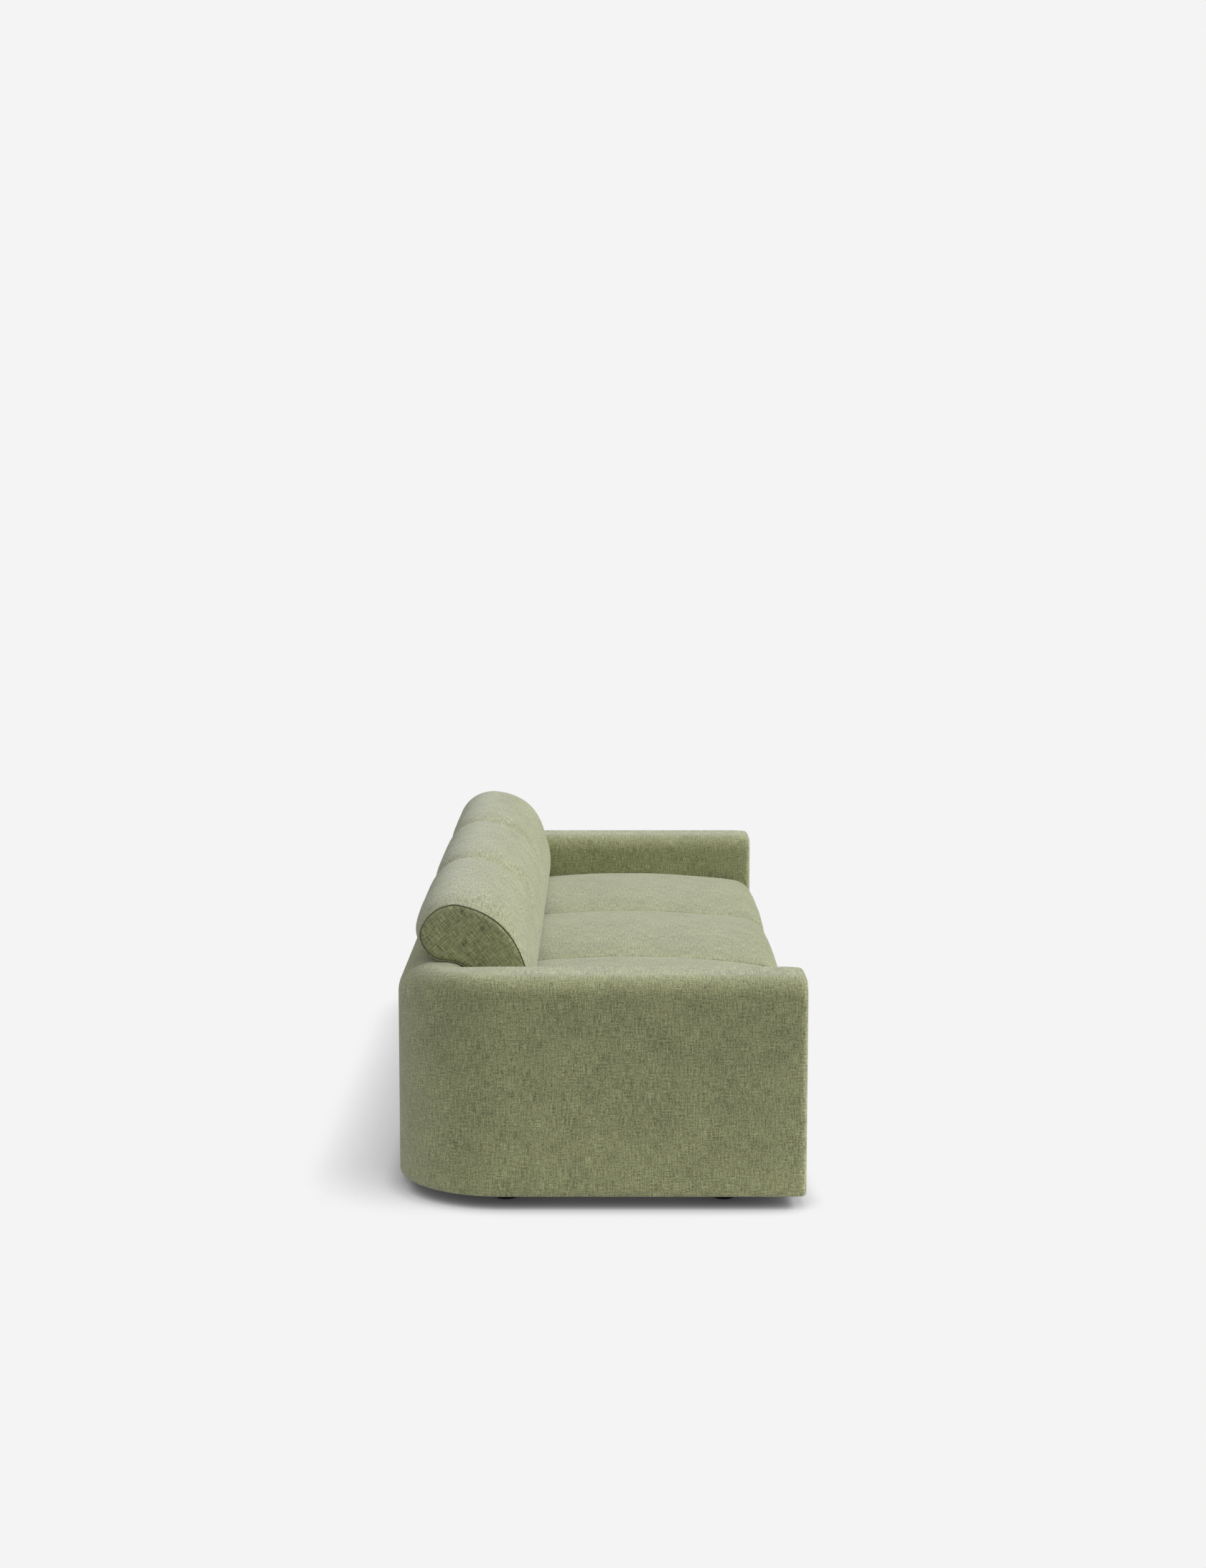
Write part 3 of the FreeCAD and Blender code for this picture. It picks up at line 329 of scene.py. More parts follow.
def zip_tape():
    """Olive tape with coil teeth, told apart by a fine rib along the zip."""
    material, tree, shader = new_material("zip_tape")
    place = node(tree, "ShaderNodeTexCoord").outputs["Object"]
    axes = node(tree, "ShaderNodeSeparateXYZ", {0: place})
    teeth = maths(tree, "SINE", maths(tree, "MULTIPLY", axes.outputs["X"], math.tau / 0.0016))
    fuzz = speckle(tree, place, 1500, detail=2)
    tone = maths(tree, "MULTIPLY_ADD", teeth, 0.16, mixed(tree, ((0.5, fuzz),)))
    colour = ramp(tree, tone, ((0.25, (0.07, 0.075, 0.045)), (0.75, (0.2, 0.21, 0.13))))
    tree.links.new(colour, shader.inputs["Base Color"])
    tree.links.new(bump(tree, teeth, 0.6, 0.0006), shader.inputs["Normal"])
    shader.inputs["Roughness"].default_value = 0.7
    return material


COVER = fabric("velvet")
# The seats' velvet has stronger threads, and a base colour darkened by painted shade.
SEAT = fabric("velvet_of_the_seats_with_painted_shade", SEAT_PILE_WITH_PAINTED_SHADE, warp_weight=0.75, weft_weight=0.85, grain_weight=1.2)
# The bolsters' velvet has stronger threads, and a base colour lightened and cooled by painted sheen.
BOLSTER = fabric("velvet_of_the_bolsters_with_painted_sheen", BOLSTER_PILE_WITH_PAINTED_SHEEN, warp_weight=0.75, weft_weight=0.9,
                 grain_weight=1.15)
# End panels are cut on the bias, and their base colour is a little darker: painted shade.
PANEL = fabric("velvet_on_the_bias_with_painted_shade", shaded(PILE, 0.96), math.radians(40), warp_weight=1.1,
               weft_weight=0.95, grain_weight=0.7)
# The velvet in the seam groove is at half brightness: painted shade in the seam.
SEAM_SHADE_VELVET = fabric("velvet_with_painted_seam_shade", shaded(PILE, 0.5), warp_weight=0.25, weft_weight=0.2,
                grain_weight=0.5)
BELT = belt_cloth()
LINING = lining_cloth()


# Meshes

class Skin:
    """Points and faces with a weave coordinate, in metres, at each corner of a face."""

    def __init__(self):
        self.points = []
        self.faces = []
        self.weave = []
        self.finishes = []

    def ring(self, points):
        start = len(self.points)
        self.points.extend(tuple(point) for point in points)
        return list(range(start, len(self.points)))

    def face(self, corners, weave, finish=0):
        self.faces.append(tuple(corners))
        self.weave.append(weave)
        self.finishes.append(finish)

    def bridge(self, first, second, first_weave, second_weave, finish=0):
        """Quads between two rings with as many points; a closed ring repeats its first point."""
        for k in range(len(first) - 1):
            self.face((first[k], first[k + 1], second[k + 1], second[k]),
                      (first_weave[k], first_weave[k + 1], second_weave[k + 1], second_weave[k]), finish)

    def mirror(self):
        self.points = [(-x, y, z) for x, y, z in self.points]
        self.faces = [face[::-1] for face in self.faces]
        self.weave = [weave[::-1] for weave in self.weave]

    def piece(self, name, materials):
        mesh = bpy.data.meshes.new(name)
        mesh.from_pydata(self.points, [], self.faces)
        layer = mesh.uv_layers.new(name="weave")
        corners = [number for weave in self.weave for pair in weave for number in pair]
        layer.data.foreach_set("uv", corners)
        mesh.polygons.foreach_set("material_index", self.finishes)
        mesh.shade_smooth()
        for material in materials:
            mesh.materials.append(material)
        piece = bpy.data.objects.new(name, mesh)
        bpy.context.scene.collection.objects.link(piece)
        return piece


def running_length(points):
    steps = np.linalg.norm(np.diff(points, axis=0), axis=1)
    return np.concatenate(([0], np.cumsum(steps)))


# Arms and backs: one section, from hem to hem, swept along the plan

class Station(NamedTuple):
    """Where the section stands between the two walls, and how it is drawn in there."""
    outer: np.ndarray
    inner: np.ndarray
    lean: float
    inset: float
    recess: float
    turn: float
    end: np.ndarray


def half_section(inset, top_round):
    """(depth into the section, turn under the hem, height) from the hem to the edge of the top."""
    top, rounding = ARM_TOP - inset, max(top_round - inset, 0.0005)
    points = [(0, HEM_TURN, HEM), (0, (HEM_TURN + HEM_ROUND) / 2, HEM)]
    for angle in np.radians(np.linspace(0, 90, HEM_ROWS)):
        points.append((0, HEM_ROUND * (1 - math.sin(angle)), HEM + HEM_ROUND * (1 - math.cos(angle))))
    for height in np.linspace(HEM + HEM_ROUND, top - rounding, WALL_ROWS)[1:]:
        points.append((0, 0, height))
    for angle in np.radians(np.linspace(0, 90, ROUND_ROWS))[1:]:
        points.append((rounding * (1 - math.cos(angle)), 0, top - rounding * (1 - math.sin(angle))))
    return points


def section_ring(station):
    """Section at a station: up the inner wall, over the top and down the outer wall."""
    outer, inner, lean, inset, recess, turn, end = station
    across = outer - inner
    across = across / np.linalg.norm(across)
    bend = math.atan2(across[1], across[0])
    inner_round = TOP_ROUND + (BACK_ROUND - TOP_ROUND) * math.sin(bend) ** 2
    outer_round = TOP_ROUND + BACK_SLUMP * math.sin(bend) ** 2
    back_from_end = -end * recess
    inside, outside = [], []
    for depth, under, height in half_section(inset, inner_round):
        sideways = inset + depth + under * math.cos(turn)
        under_end = -end * under * math.sin(turn)
        inside.append((*(inner + across * sideways * lean + back_from_end + under_end), height))
    for depth, under, height in half_section(inset, outer_round):
        sideways = inset + depth + under * math.cos(turn)
        under_end = -end * under * math.sin(turn)
        outside.append((*(outer - across * sideways + back_from_end + under_end), height))
    shares = np.linspace(0, 1, TOP_ROWS)[1:-1, None]
    top = np.array(inside[-1]) * (1 - shares) + np.array(outside[-1]) * shares
    return np.array([*inside, *top, *outside[::-1]])


def end_stations(outer, inner, end, edge):
    """From the middle of an end face out to its rounded edge."""
    radius, puff, lead = edge["radius"], edge["puff"], edge["lead"]
    stations = []
    for inset in np.linspace(THICKNESS / 2 - END_SLIT, radius + lead, END_RINGS)[:-1]:
        recess = puff * math.exp((radius + lead - inset) / PUFF_REACH)
        stations.append(Station(outer, inner, 1, inset, recess, math.pi / 2, end))
    for angle in np.radians(np.linspace(0, 90, EDGE_RINGS)):
        inset = lead + radius * (1 - math.sin(angle))
        recess = puff + radius * (1 - math.cos(angle))
        stations.append(Station(outer, inner, 1, inset, recess, math.pi / 2 - angle, end))
    return stations


def straight_stations(outer_start, outer_end, inner_start, inner_end, inset_at):
    length = np.linalg.norm(outer_end - outer_start)
    stations = []
    for share in np.linspace(0, 1, round(length / STATION_STEP) + 1)[1:-1]:
        outer = outer_start + (outer_end - outer_start) * share
        inner = inner_start + (inner_end - inner_start) * share
        stations.append(Station(outer, inner, 1, inset_at(share * length), 0, 0, np.zeros(2)))
    return stations


def corner_stations():
    """Round the outer back corner, with the inner walls meeting in a plain corner."""
    centre = np.array((HALF_WIDTH - CORNER_RADIUS, BACK - CORNER_RADIUS))
    wall = CORNER_RADIUS - THICKNESS
    stations = []
    for degrees in np.linspace(0, 90, CORNER_RINGS):
        ray = np.array((math.cos(math.radians(degrees)), math.sin(math.radians(degrees))))
        lean = 1 / max(ray)
        stations.append(Station(centre + CORNER_RADIUS * ray, centre + wall * lean * ray, lean,
                                0, 0, 0, np.zeros(2)))
    return stations


def plan(x, y):
    return np.array((x, y))


def front_lead(distance):
    """How far the cover draws in on the way to the rounded front edge."""
    start = FRONT_EDGE["radius"] + FRONT_EDGE["puff"]
    left = max(0, 1 - distance / (LEAD_LENGTH - start))
    return FRONT_EDGE["lead"] * left ** 2


def arm_stations():
    """Right-hand arm from its front round the corner to the split."""
    towards_front, towards_split = plan(0, -1), plan(-1, 0)
    corner = corner_stations()
    front_depth = FRONT_EDGE["radius"] + FRONT_EDGE["puff"]
    split_depth = SPLIT_EDGE["radius"] + SPLIT_EDGE["puff"]
    arm_front = (plan(HALF_WIDTH, FRONT), plan(ARM_INNER, FRONT))
    split = (plan(SPLIT, BACK), plan(SPLIT, BACK_INNER))
    along_arm = straight_stations(arm_front[0] - towards_front * front_depth, corner[0].outer,
                                  arm_front[1] - towards_front * front_depth, corner[0].inner, front_lead)
    along_back = straight_stations(corner[-1].outer, split[0] - towards_split * split_depth,
                                   corner[-1].inner, split[1] - towards_split * split_depth, lambda _: 0)
    return [*end_stations(*arm_front, towards_front, FRONT_EDGE), *along_arm, *corner, *along_back,
            *end_stations(*split, towards_split, SPLIT_EDGE)[::-1]]


def back_stations():
    """Middle back from its right-hand split to its left-hand one."""
    ends = [(plan(side * CENTRE_SPLIT, BACK), plan(side * CENTRE_SPLIT, BACK_INNER), plan(side, 0))
            for side in (1, -1)]
    depth = SPLIT_EDGE["radius"] + SPLIT_EDGE["puff"]
    inside = [(outer - end * depth, inner - end * depth) for outer, inner, end in ends]
    between = straight_stations(inside[0][0], inside[1][0], inside[0][1], inside[1][1], lambda _: 0)
    return [*end_stations(*ends[0], SPLIT_EDGE), *between, *end_stations(*ends[1], SPLIT_EDGE)[::-1]]


def sweep(name, stations, mirrored=False):
    skin = Skin()
    rings = [section_ring(station) for station in stations]
    middle = len(rings[0]) // 2
    along = running_length(np.array([ring[-3] for ring in rings]))
    around = running_length(rings[len(rings) // 2])
    numbers = [skin.ring(ring) for ring in rings]
    for index in range(len(rings) - 1):
        if min(stations[index].turn, stations[index + 1].turn) > ON_END_FACE:
            end = stations[index].end
            side = plan(-end[1], end[0])
            weave = [[(float(point[:2] @ side), float(point[2])) for point in rings[k]]
                     for k in (index, index + 1)]
        else:
            weave = [[(float(along[k]), float(length)) for length in around] for k in (index, index + 1)]
        skin.bridge(numbers[index], numbers[index + 1], *weave)
    for ring, order in ((numbers[0], -1), (numbers[-1], 1)):
        for k in range(middle - 1):
            corners = (ring[k], ring[-1 - k], ring[-2 - k], ring[k + 1])
            weave = [(float(x + y), float(z)) for x, y, z in (skin.points[corner] for corner in corners)]
            skin.face(corners[::-order], weave[::-order])
    if mirrored:
        skin.mirror()
    return skin.piece(name, [COVER])


def upholster(module, part, stations):
    piece = sweep(f"{module}_{part}_upholstery", stations, mirrored=module == "left")
    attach(piece, f"{module}_module")
    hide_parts(f"{module}_{part}_cover", f"{module}_{part}_padding")


upholster("left", "surround", arm_stations())
upholster("right", "surround", arm_stations())
upholster("centre", "back", back_stations())


# Seat bases: a fabric skirt, belts and a lining

SKIRT_CORNER = 0.008
SKIRT_EDGE = 0.003
SKIRT_LIP = 0.07
SKIRT_ROWS, LIP_ROWS, CORNER_POINTS, SIDE_POINTS = 12, 6, 5, 24
SKIRT_SIDE = 15


def skirt_profile():
    """(inset, height) from the turned-under hem to the lip over the top of the base."""
    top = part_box("centre_base_cover")[1].z
    points = [(HEM_TURN, HEM), ((HEM_TURN + HEM_ROUND) / 2, HEM)]
    for angle in np.radians(np.linspace(0, 90, HEM_ROWS)):
        points.append((HEM_ROUND * (1 - math.sin(angle)), HEM + HEM_ROUND * (1 - math.cos(angle))))
    for height in np.linspace(HEM + HEM_ROUND, top - SKIRT_EDGE, SKIRT_ROWS)[1:]:
        points.append((0, height))
    for angle in np.radians(np.linspace(0, 90, HEM_ROWS))[1:]:
        points.append((SKIRT_EDGE * (1 - math.cos(angle)), top - SKIRT_EDGE * (1 - math.sin(angle))))
    for inset in np.linspace(SKIRT_EDGE, SKIRT_LIP, LIP_ROWS)[1:]:
        points.append((inset, top))
    return points


def skirt_loop(low, high, inset, height):
    """Closed loop round the base with rounded corners, as seen from above."""
    radius = max(SKIRT_CORNER - inset, 0.0005)
    corners = [(high.x, low.y, -90), (high.x, high.y, 0), (low.x, high.y, 90), (low.x, low.y, 180)]
    middle = plan((low.x + high.x) / 2, (low.y + high.y) / 2)
    points = []
    for x, y, start in corners:
        inward = np.sign(middle - plan(x, y))
        pivot = plan(x, y) + inward * (inset + radius)
        for degrees in np.linspace(start, start + 90, CORNER_POINTS):
            angle = math.radians(degrees)
            points.append((*(pivot + radius * plan(math.cos(angle), math.sin(angle))), height))
    sides = []
    for k, point in enumerate(points):
        sides.append(point)
        following = points[(k + 1) % len(points)]
        if (k + 1) % CORNER_POINTS == 0:
            for share in np.linspace(0, 1, SIDE_POINTS)[1:-1]:
                sides.append(tuple(np.array(point) * (1 - share) + np.array(following) * share))
    return np.array([*sides, sides[0]])


def skirt(module):
    """Measured along the middle of a side."""
    low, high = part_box(f"{module}_base_cover")
    skin = Skin()
    rings = [skirt_loop(low, high, inset, height) for inset, height in skirt_profile()]
    around = running_length(rings[HEM_ROWS + 1])
    up = running_length(np.array([ring[SKIRT_SIDE] for ring in rings]))
    numbers = []
    for ring in rings:
        loop = skin.ring(ring[:-1])
        numbers.append([*loop, loop[0]])
    for k in range(len(rings) - 1):
        weave = [[(float(length), float(up[row])) for length in around] for row in (k, k + 1)]
        skin.bridge(numbers[k], numbers[k + 1], *weave)
    piece = skin.piece(f"{module}_base_skirt", [COVER])
    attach(piece, f"{module}_module")
    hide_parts(f"{module}_base_cover")


BOARD = 0.022
BELTS_ALONG, BELTS_ACROSS = 5, 6
BELT_WIDTH, BELT_THICK, BELT_EDGE = 0.05, 0.0018, 0.002
BELT_STEPS = 100
BELT_RISE, CROSSING_REACH = 0.001, 0.035


def belt_centres(low, high, count):
    pitch = (high - low - 2 * BOARD) / count
    return [low + BOARD + pitch * (number + 0.5) for number in range(count)]


def belt(skin, along_x, place, start, stop, crossings, first_over, level):
    """One belt that goes over and under the belts that it crosses."""
    profile = ((-1, -1), (-0.96, 1), (0.96, 1), (1, -1))
    rings = []
    positions = np.linspace(start, stop, BELT_STEPS)
    for position in positions:
        wave = 0
        for number, crossing in enumerate(crossings):
            over = first_over if number % 2 == 0 else -first_over
            wave += over * math.exp(-((position - crossing) / CROSSING_REACH) ** 4)
        ring = []
        for side, face in (*profile, profile[0]):
            offset = place + side * BELT_WIDTH / 2
            height = level + BELT_RISE * max(-1, min(1, wave)) + face * BELT_THICK / 2
            ring.append((position, offset, height) if along_x else (offset, position, height))
        rings.append(ring)
    around = np.cumsum((0, BELT_EDGE, BELT_WIDTH, BELT_EDGE, BELT_WIDTH)).tolist()
    previous = None
    for position, ring in zip(positions, rings):
        loop = skin.ring(ring[:-1])
        loop.append(loop[0])
        weave = [(float(position), across) for across in around]
        if previous:
            first, second = ((loop, weave), previous) if along_x else (previous, (loop, weave))
            skin.bridge(first[0], second[0], first[1], second[1])
        else:
            skin.face(loop[:-1] if along_x else loop[-2::-1], weave[:-1])
        previous = (loop, weave)
    skin.face(loop[-2::-1] if along_x else loop[:-1], weave[:-1])


def belts(module):
    low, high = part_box(f"{module}_webbing")
    level = (low.z + high.z) / 2
    columns = belt_centres(low.x, high.x, BELTS_ALONG)
    rows = belt_centres(low.y, high.y, BELTS_ACROSS)
    skin = Skin()
    for number, x in enumerate(columns):
        belt(skin, False, x, low.y, high.y, rows, 1 if number % 2 else -1, level)
    for number, y in enumerate(rows):
        belt(skin, True, y, low.x, high.x, columns, -1 if number % 2 else 1, level)
    piece = skin.piece(f"{module}_belts", [BELT])
    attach(piece, f"{module}_module")
    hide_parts(f"{module}_webbing")


LINING_CORNER = 0.247
LINING_SAG = 0.003
LINING_POINTS = 37


def lining(module):
    """Thin lining across the underside; an end module's follows the round back corner."""
    low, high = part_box(f"{module}_dust_cover")
    corner = 0 if module == "centre" else LINING_CORNER
    inner, outer = (high.x, low.x) if module == "left" else (low.x, high.x)
    facing = 1 if outer > inner else -1
    level = (low.z + high.z) / 2
    skin = Skin()
    shares = np.linspace(0, 1, LINING_POINTS)
    previous = None
    for across in shares:
        y = low.y + (high.y - low.y) * across
        past = max(0, y - (high.y - corner))
        reach = outer - facing * (corner - math.sqrt(corner ** 2 - past ** 2)) - inner
        row = []
        for along in shares:
            sag = LINING_SAG * (math.sin(math.pi * along) * math.sin(math.pi * across)) ** 2
            row.append((inner + reach * along, y, level - sag))
        weave = [(x, y) for x, y, _ in row]
        numbers = skin.ring(row)
        if previous:
            ends = ((numbers, weave), previous)[::facing]
            skin.bridge(ends[0][0], ends[1][0], ends[0][1], ends[1][1])
        previous = (numbers, weave)
    piece = skin.piece(f"{module}_lining", [LINING])
    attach(piece, f"{module}_module")
    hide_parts(f"{module}_dust_cover")


for module in MODULES:
    skirt(module)
    belts(module)
    lining(module)


# Seat cushions and bolsters

def outline(start, steps):
    """Closed outline. A step is (end,) for a straight run or (control, end) for a curve."""
    points, here = [], np.array(start)
    for step in steps:
        end = np.array(step[-1])
        control = np.array(step[0]) if len(step) == 2 else (here + end) / 2
        for share in np.linspace(0, 1, CURVE_POINTS, endpoint=False):
            points.append(here * (1 - share) ** 2 + control * 2 * share * (1 - share) + end * share ** 2)
        here = end
    return np.array(points)


def evenly(points, count):
    """The closed outline again, with points an even distance apart."""
    closed = np.vstack((points, points[:1]))
    length = running_length(closed)
    places = np.linspace(0, length[-1], count, endpoint=False)
    return np.column_stack([np.interp(places, length, closed[:, axis]) for axis in (0, 1)])


def softened(points, rounds):
    """The section's ring: the outline with its corners eased."""
    points = evenly(points, RING_POINTS * OUTLINE_FINENESS)
    for _ in range(rounds):
        points = points / 2 + (np.roll(points, 1, axis=0) + np.roll(points, -1, axis=0)) / 4
    return points[::OUTLINE_FINENESS]


def off_chord(start, end, bulge):
    """Control point for a curve that stands off its chord on the left by bulge."""
    along = np.array(end) - np.array(start)
    left = np.array((-along[1], along[0])) / np.linalg.norm(along)
    return (np.array(start) + np.array(end)) / 2 + 2 * bulge * left


def seat_outline(station, forward):
    """Section of a seat cushion, crowned and rounded over its front."""
    fall = station ** 2
    front = seat_low.y - forward + SEAT_DRAW * fall
    rear, bottom = seat_high.y, seat_low.z
    crest = seat_high.z - SEAT_FALL * fall
    nose = (front, crest - SEAT_NOSE)
    brow = (front + SEAT_BROW, crest - SEAT_EDGE)
    heel = (rear - SEAT_EDGE, crest - SEAT_EDGE)
    points = outline((rear, bottom), [
        ((front + SEAT_TUCK, bottom),),
        ((front, bottom + SEAT_CHIN), nose),
        ((front, crest - SEAT_CHEEK), brow),
        (((brow[0] + heel[0]) / 2, crest + SEAT_EDGE), heel),
        ((rear, heel[1]), (rear, heel[1] - SEAT_EDGE)),
        ((rear, bottom),),
    ])
    return softened(points, SEAT_SOFTENING)


def bolster_outline(station):
    """Section of a bolster, which hooks over the rounded inner edge of the back."""
    swell = BOLSTER_SWELL - BOLSTER_FALL * station ** 8
    puff = swell / 2 - PUFF_LOSS
    bulges = BOLSTER_BULGES
    face, foot = BACK_INNER - HOOK_GAP, bolster_low.z
    ledge_height = ARM_TOP + HOOK_GAP
    toe = (BACK_INNER - BOLSTER_TOE - CHEST_SWELL, foot)
    front = (BACK_INNER - BOLSTER_FRONT - CHEST_SWELL, ARM_TOP)
    crest = (BACK_INNER + BOLSTER_CREST[0], ARM_TOP + BOLSTER_CREST[1] + CREST_SHARE * swell)
    nose = (BACK_INNER + BOLSTER_NOSE[0] + swell, ARM_TOP + BOLSTER_NOSE[1])
    ledge = (BACK_INNER + BACK_ROUND + BOLSTER_LEDGE, ledge_height)
    points = outline((face, foot), [
        (toe,),
        (off_chord(toe, front, bulges["foot"]), front),
        (off_chord(front, crest, bulges["shoulder"] + SHOULDER_SHARE * puff), crest),
        (off_chord(crest, nose, bulges["top"] + puff), nose),
        (off_chord(nose, ledge, bulges["underside"] + puff), ledge),
        ((BACK_INNER + BACK_ROUND, ledge_height),),
        ((face, ledge_height), (face, ARM_TOP - BACK_ROUND)),
        ((face, foot),),
    ])
    return softened(points, BOLSTER_SOFTENING)


def outward(points):
    along = np.roll(points, -1, axis=0) - np.roll(points, 1, axis=0)
    normal = np.column_stack((along[:, 1], -along[:, 0]))
    normal /= np.linalg.norm(normal, axis=1)[:, None]
    twice_area = np.sum(points[:, 0] * np.roll(points[:, 1], -1) - np.roll(points[:, 0], -1) * points[:, 1])
    return normal if twice_area > 0 else -normal


def rim_rings(seam):
    """(inset, distance in from the end plane, finish) over the rim, the seam and the panel's edge."""
    rings = [(RIM * (1 - math.cos(angle)), RIM * (1 - math.sin(angle)), ON_COVER)
             for angle in np.radians(np.linspace(0, seam["turn"], 5))]
    edge = rings[-1][0] + SEAM_WIDTH
    rings.append((edge - SEAM_WIDTH / 2, seam["depth"], ON_SEAM))
    rings.append((edge, seam["depth"] * SEAM_RISE[0], ON_SEAM))
    for share in PANEL_EDGE_SHARES:
        depth = seam["depth"] * SEAM_RISE[1] * (1 - share) ** 2
        rings.append((edge + seam["edge"] * share, depth, ON_PANEL))
    return rings


def cushion(middle, section, seam, panel_centre, panel_puff):
    """A tube of fabric between two sewn-in end panels. Returns its skin and, for each point, whether
    it is on a rim, seam or panel."""
    skin = Skin()
    tube_half = CUSHION_HALF - RIM
    rows = []
    for x in np.linspace(-tube_half, tube_half, round(2 * tube_half / RING_STEP) + 1)[1:-1]:
        rows.append((x, section(x / CUSHION_HALF), x, ON_COVER, False))
    for side in (-1, 1):
        contour = section(side * tube_half / CUSHION_HALF)
        normal = outward(contour)
        end = []
        run = tube_half
        for inset, depth, finish in rim_rings(seam):
            end.append((side * (CUSHION_HALF - depth), contour - normal * inset, side * run, finish,
                        inset > RIM * HELD_FROM))
            run += RIM * RUN_STEP
        edge = end[-1][1]
        for share in PANEL_SHARES:
            puff = panel_puff * (1 - share ** 2)
            ring = panel_centre + (edge - panel_centre) * share
            end.append((side * (CUSHION_HALF + puff), ring, side * run, ON_PANEL, True))
        rows = [*end[::-1], *rows] if side < 0 else [*rows, *end]
    loops, held = [], []
    for x, ring, _, _, on_end in rows:
        loop = skin.ring([(middle + x, y, z) for y, z in ring])
        loops.append([*loop, loop[0]])
        held.extend([on_end] * len(ring))
    half_way = rows[len(rows) // 2][1]
    perimeter = running_length(np.vstack((half_way, half_way[:1])))
    for k in range(len(rows) - 1):
        finishes = (rows[k][3], rows[k + 1][3])
        finish = ON_SEAM if ON_SEAM in finishes else min(finishes)
        if finish == ON_PANEL:
            weave = [[(y, z) for y, z in (*rows[r][1], rows[r][1][0])] for r in (k, k + 1)]
        else:
            weave = [[(rows[r][2] + middle, length) for length in perimeter] for r in (k, k + 1)]
        skin.bridge(loops[k + 1], loops[k], weave[1], weave[0], finish)
    for loop, row, order in ((loops[0], rows[0], -1), (loops[-1], rows[-1], 1)):
        hub = skin.ring([(middle + row[0], *panel_centre)])[0]
        held.append(True)
        for k in range(len(loop) - 1):
            corners = (loop[k], loop[k + 1], hub)[::-order]
            skin.face(corners, [skin.points[corner][1:] for corner in corners], ON_PANEL)
    return skin, np.array(held)


def coordinates(mesh):
    flat = np.empty(len(mesh.vertices) * 3)
    mesh.vertices.foreach_get("co", flat)
    return flat.reshape(-1, 3)


def inflate(piece, freedom, cap):
    """Swells the free cloth by air pressure, no point further than the cap."""
    start = coordinates(piece.data)
    group = piece.vertex_groups.new(name="held")
    for index, free in enumerate(freedom):
        group.add([index], float(1 - free), "REPLACE")
    modifier = piece.modifiers.new("cloth", "CLOTH")
    cloth = modifier.settings
    cloth.vertex_group_mass = "held"
    cloth.use_pressure = True
    cloth.uniform_pressure_force = AIR_PRESSURE
    cloth.effector_weights.gravity = 0
    cloth.tension_stiffness = cloth.compression_stiffness = 25
    cloth.shear_stiffness = 8
    cloth.bending_stiffness = 1.5
    cloth.quality = 4
    modifier.point_cache.frame_end = CLOTH_FRAMES
    scene = bpy.context.scene
    for number in range(CLOTH_FRAMES):
        scene.frame_set(number + 1)
    swollen = coordinates(piece.evaluated_get(bpy.context.evaluated_depsgraph_get()).data)
    piece.modifiers.remove(modifier)
    piece.vertex_groups.clear()
    scene.frame_set(1)
    moved = swollen - start
    distance = np.linalg.norm(moved, axis=1, keepdims=True) + 1e-9
    settled = start + moved / distance * cap * np.tanh(distance / cap) * freedom[:, None]
    piece.data.vertices.foreach_set("co", settled.ravel())


def smooth_step(value, low, high):
    share = np.clip((value - low) / (high - low), 0, 1)
    return share * share * (3 - 2 * share)


def seat_freedom(points, held):
    """Free on top and over the front; held on the webbing, against the back and along the seams."""
    rise = smooth_step(points[:, 2], *(seat_low.z + height for height in SEAT_FREE_HEIGHTS))
    ahead = 1 - smooth_step(points[:, 1], *(seat_high.y - gap for gap in SEAT_FREE_AHEAD))
    return np.where(held, 0, rise * ahead)


def bolster_freedom(points, held):
    """Free over the front, top and rear; held underneath and where it hooks over the back."""
    rise = smooth_step(points[:, 2], *(bolster_low.z + height for height in BOLSTER_FREE_HEIGHTS))
    hook = np.linalg.norm(points[:, 1:] - np.array((BACK_INNER + HOOK_IN, ARM_TOP - HOOK_DOWN)), axis=1)
    return np.where(held, 0, rise * smooth_step(hook, *HOOK_REACH))


def unevenness(piece, freedom, seed):
    """Slight hollows and rises of a stuffed cover."""
    points = coordinates(piece.data)
    normals = np.array([tuple(vertex.normal) for vertex in piece.data.vertices])
    shift = [noise.noise(Vector(point) / HOLLOW_SIZE + Vector((seed, 0, 0))) for point in points]
    points += normals * (np.array(shift) * HOLLOW_DEPTH * freedom)[:, None]
    piece.data.vertices.foreach_set("co", points.ravel())


SOFT = {
    "seat": {"cloth": SEAT, "seam": SEAT_SEAM, "panel_centre": (-0.09, 0.335), "panel_puff": 0.0,
             "freedom": seat_freedom, "start_inset": 0.003, "cap": 0.008},
    "bolster": {"cloth": BOLSTER, "seam": BOLSTER_SEAM, "panel_centre": (0.262, 0.6), "panel_puff": 0.0005,
                "freedom": bolster_freedom, "start_inset": 0.001, "cap": 0.004},
}


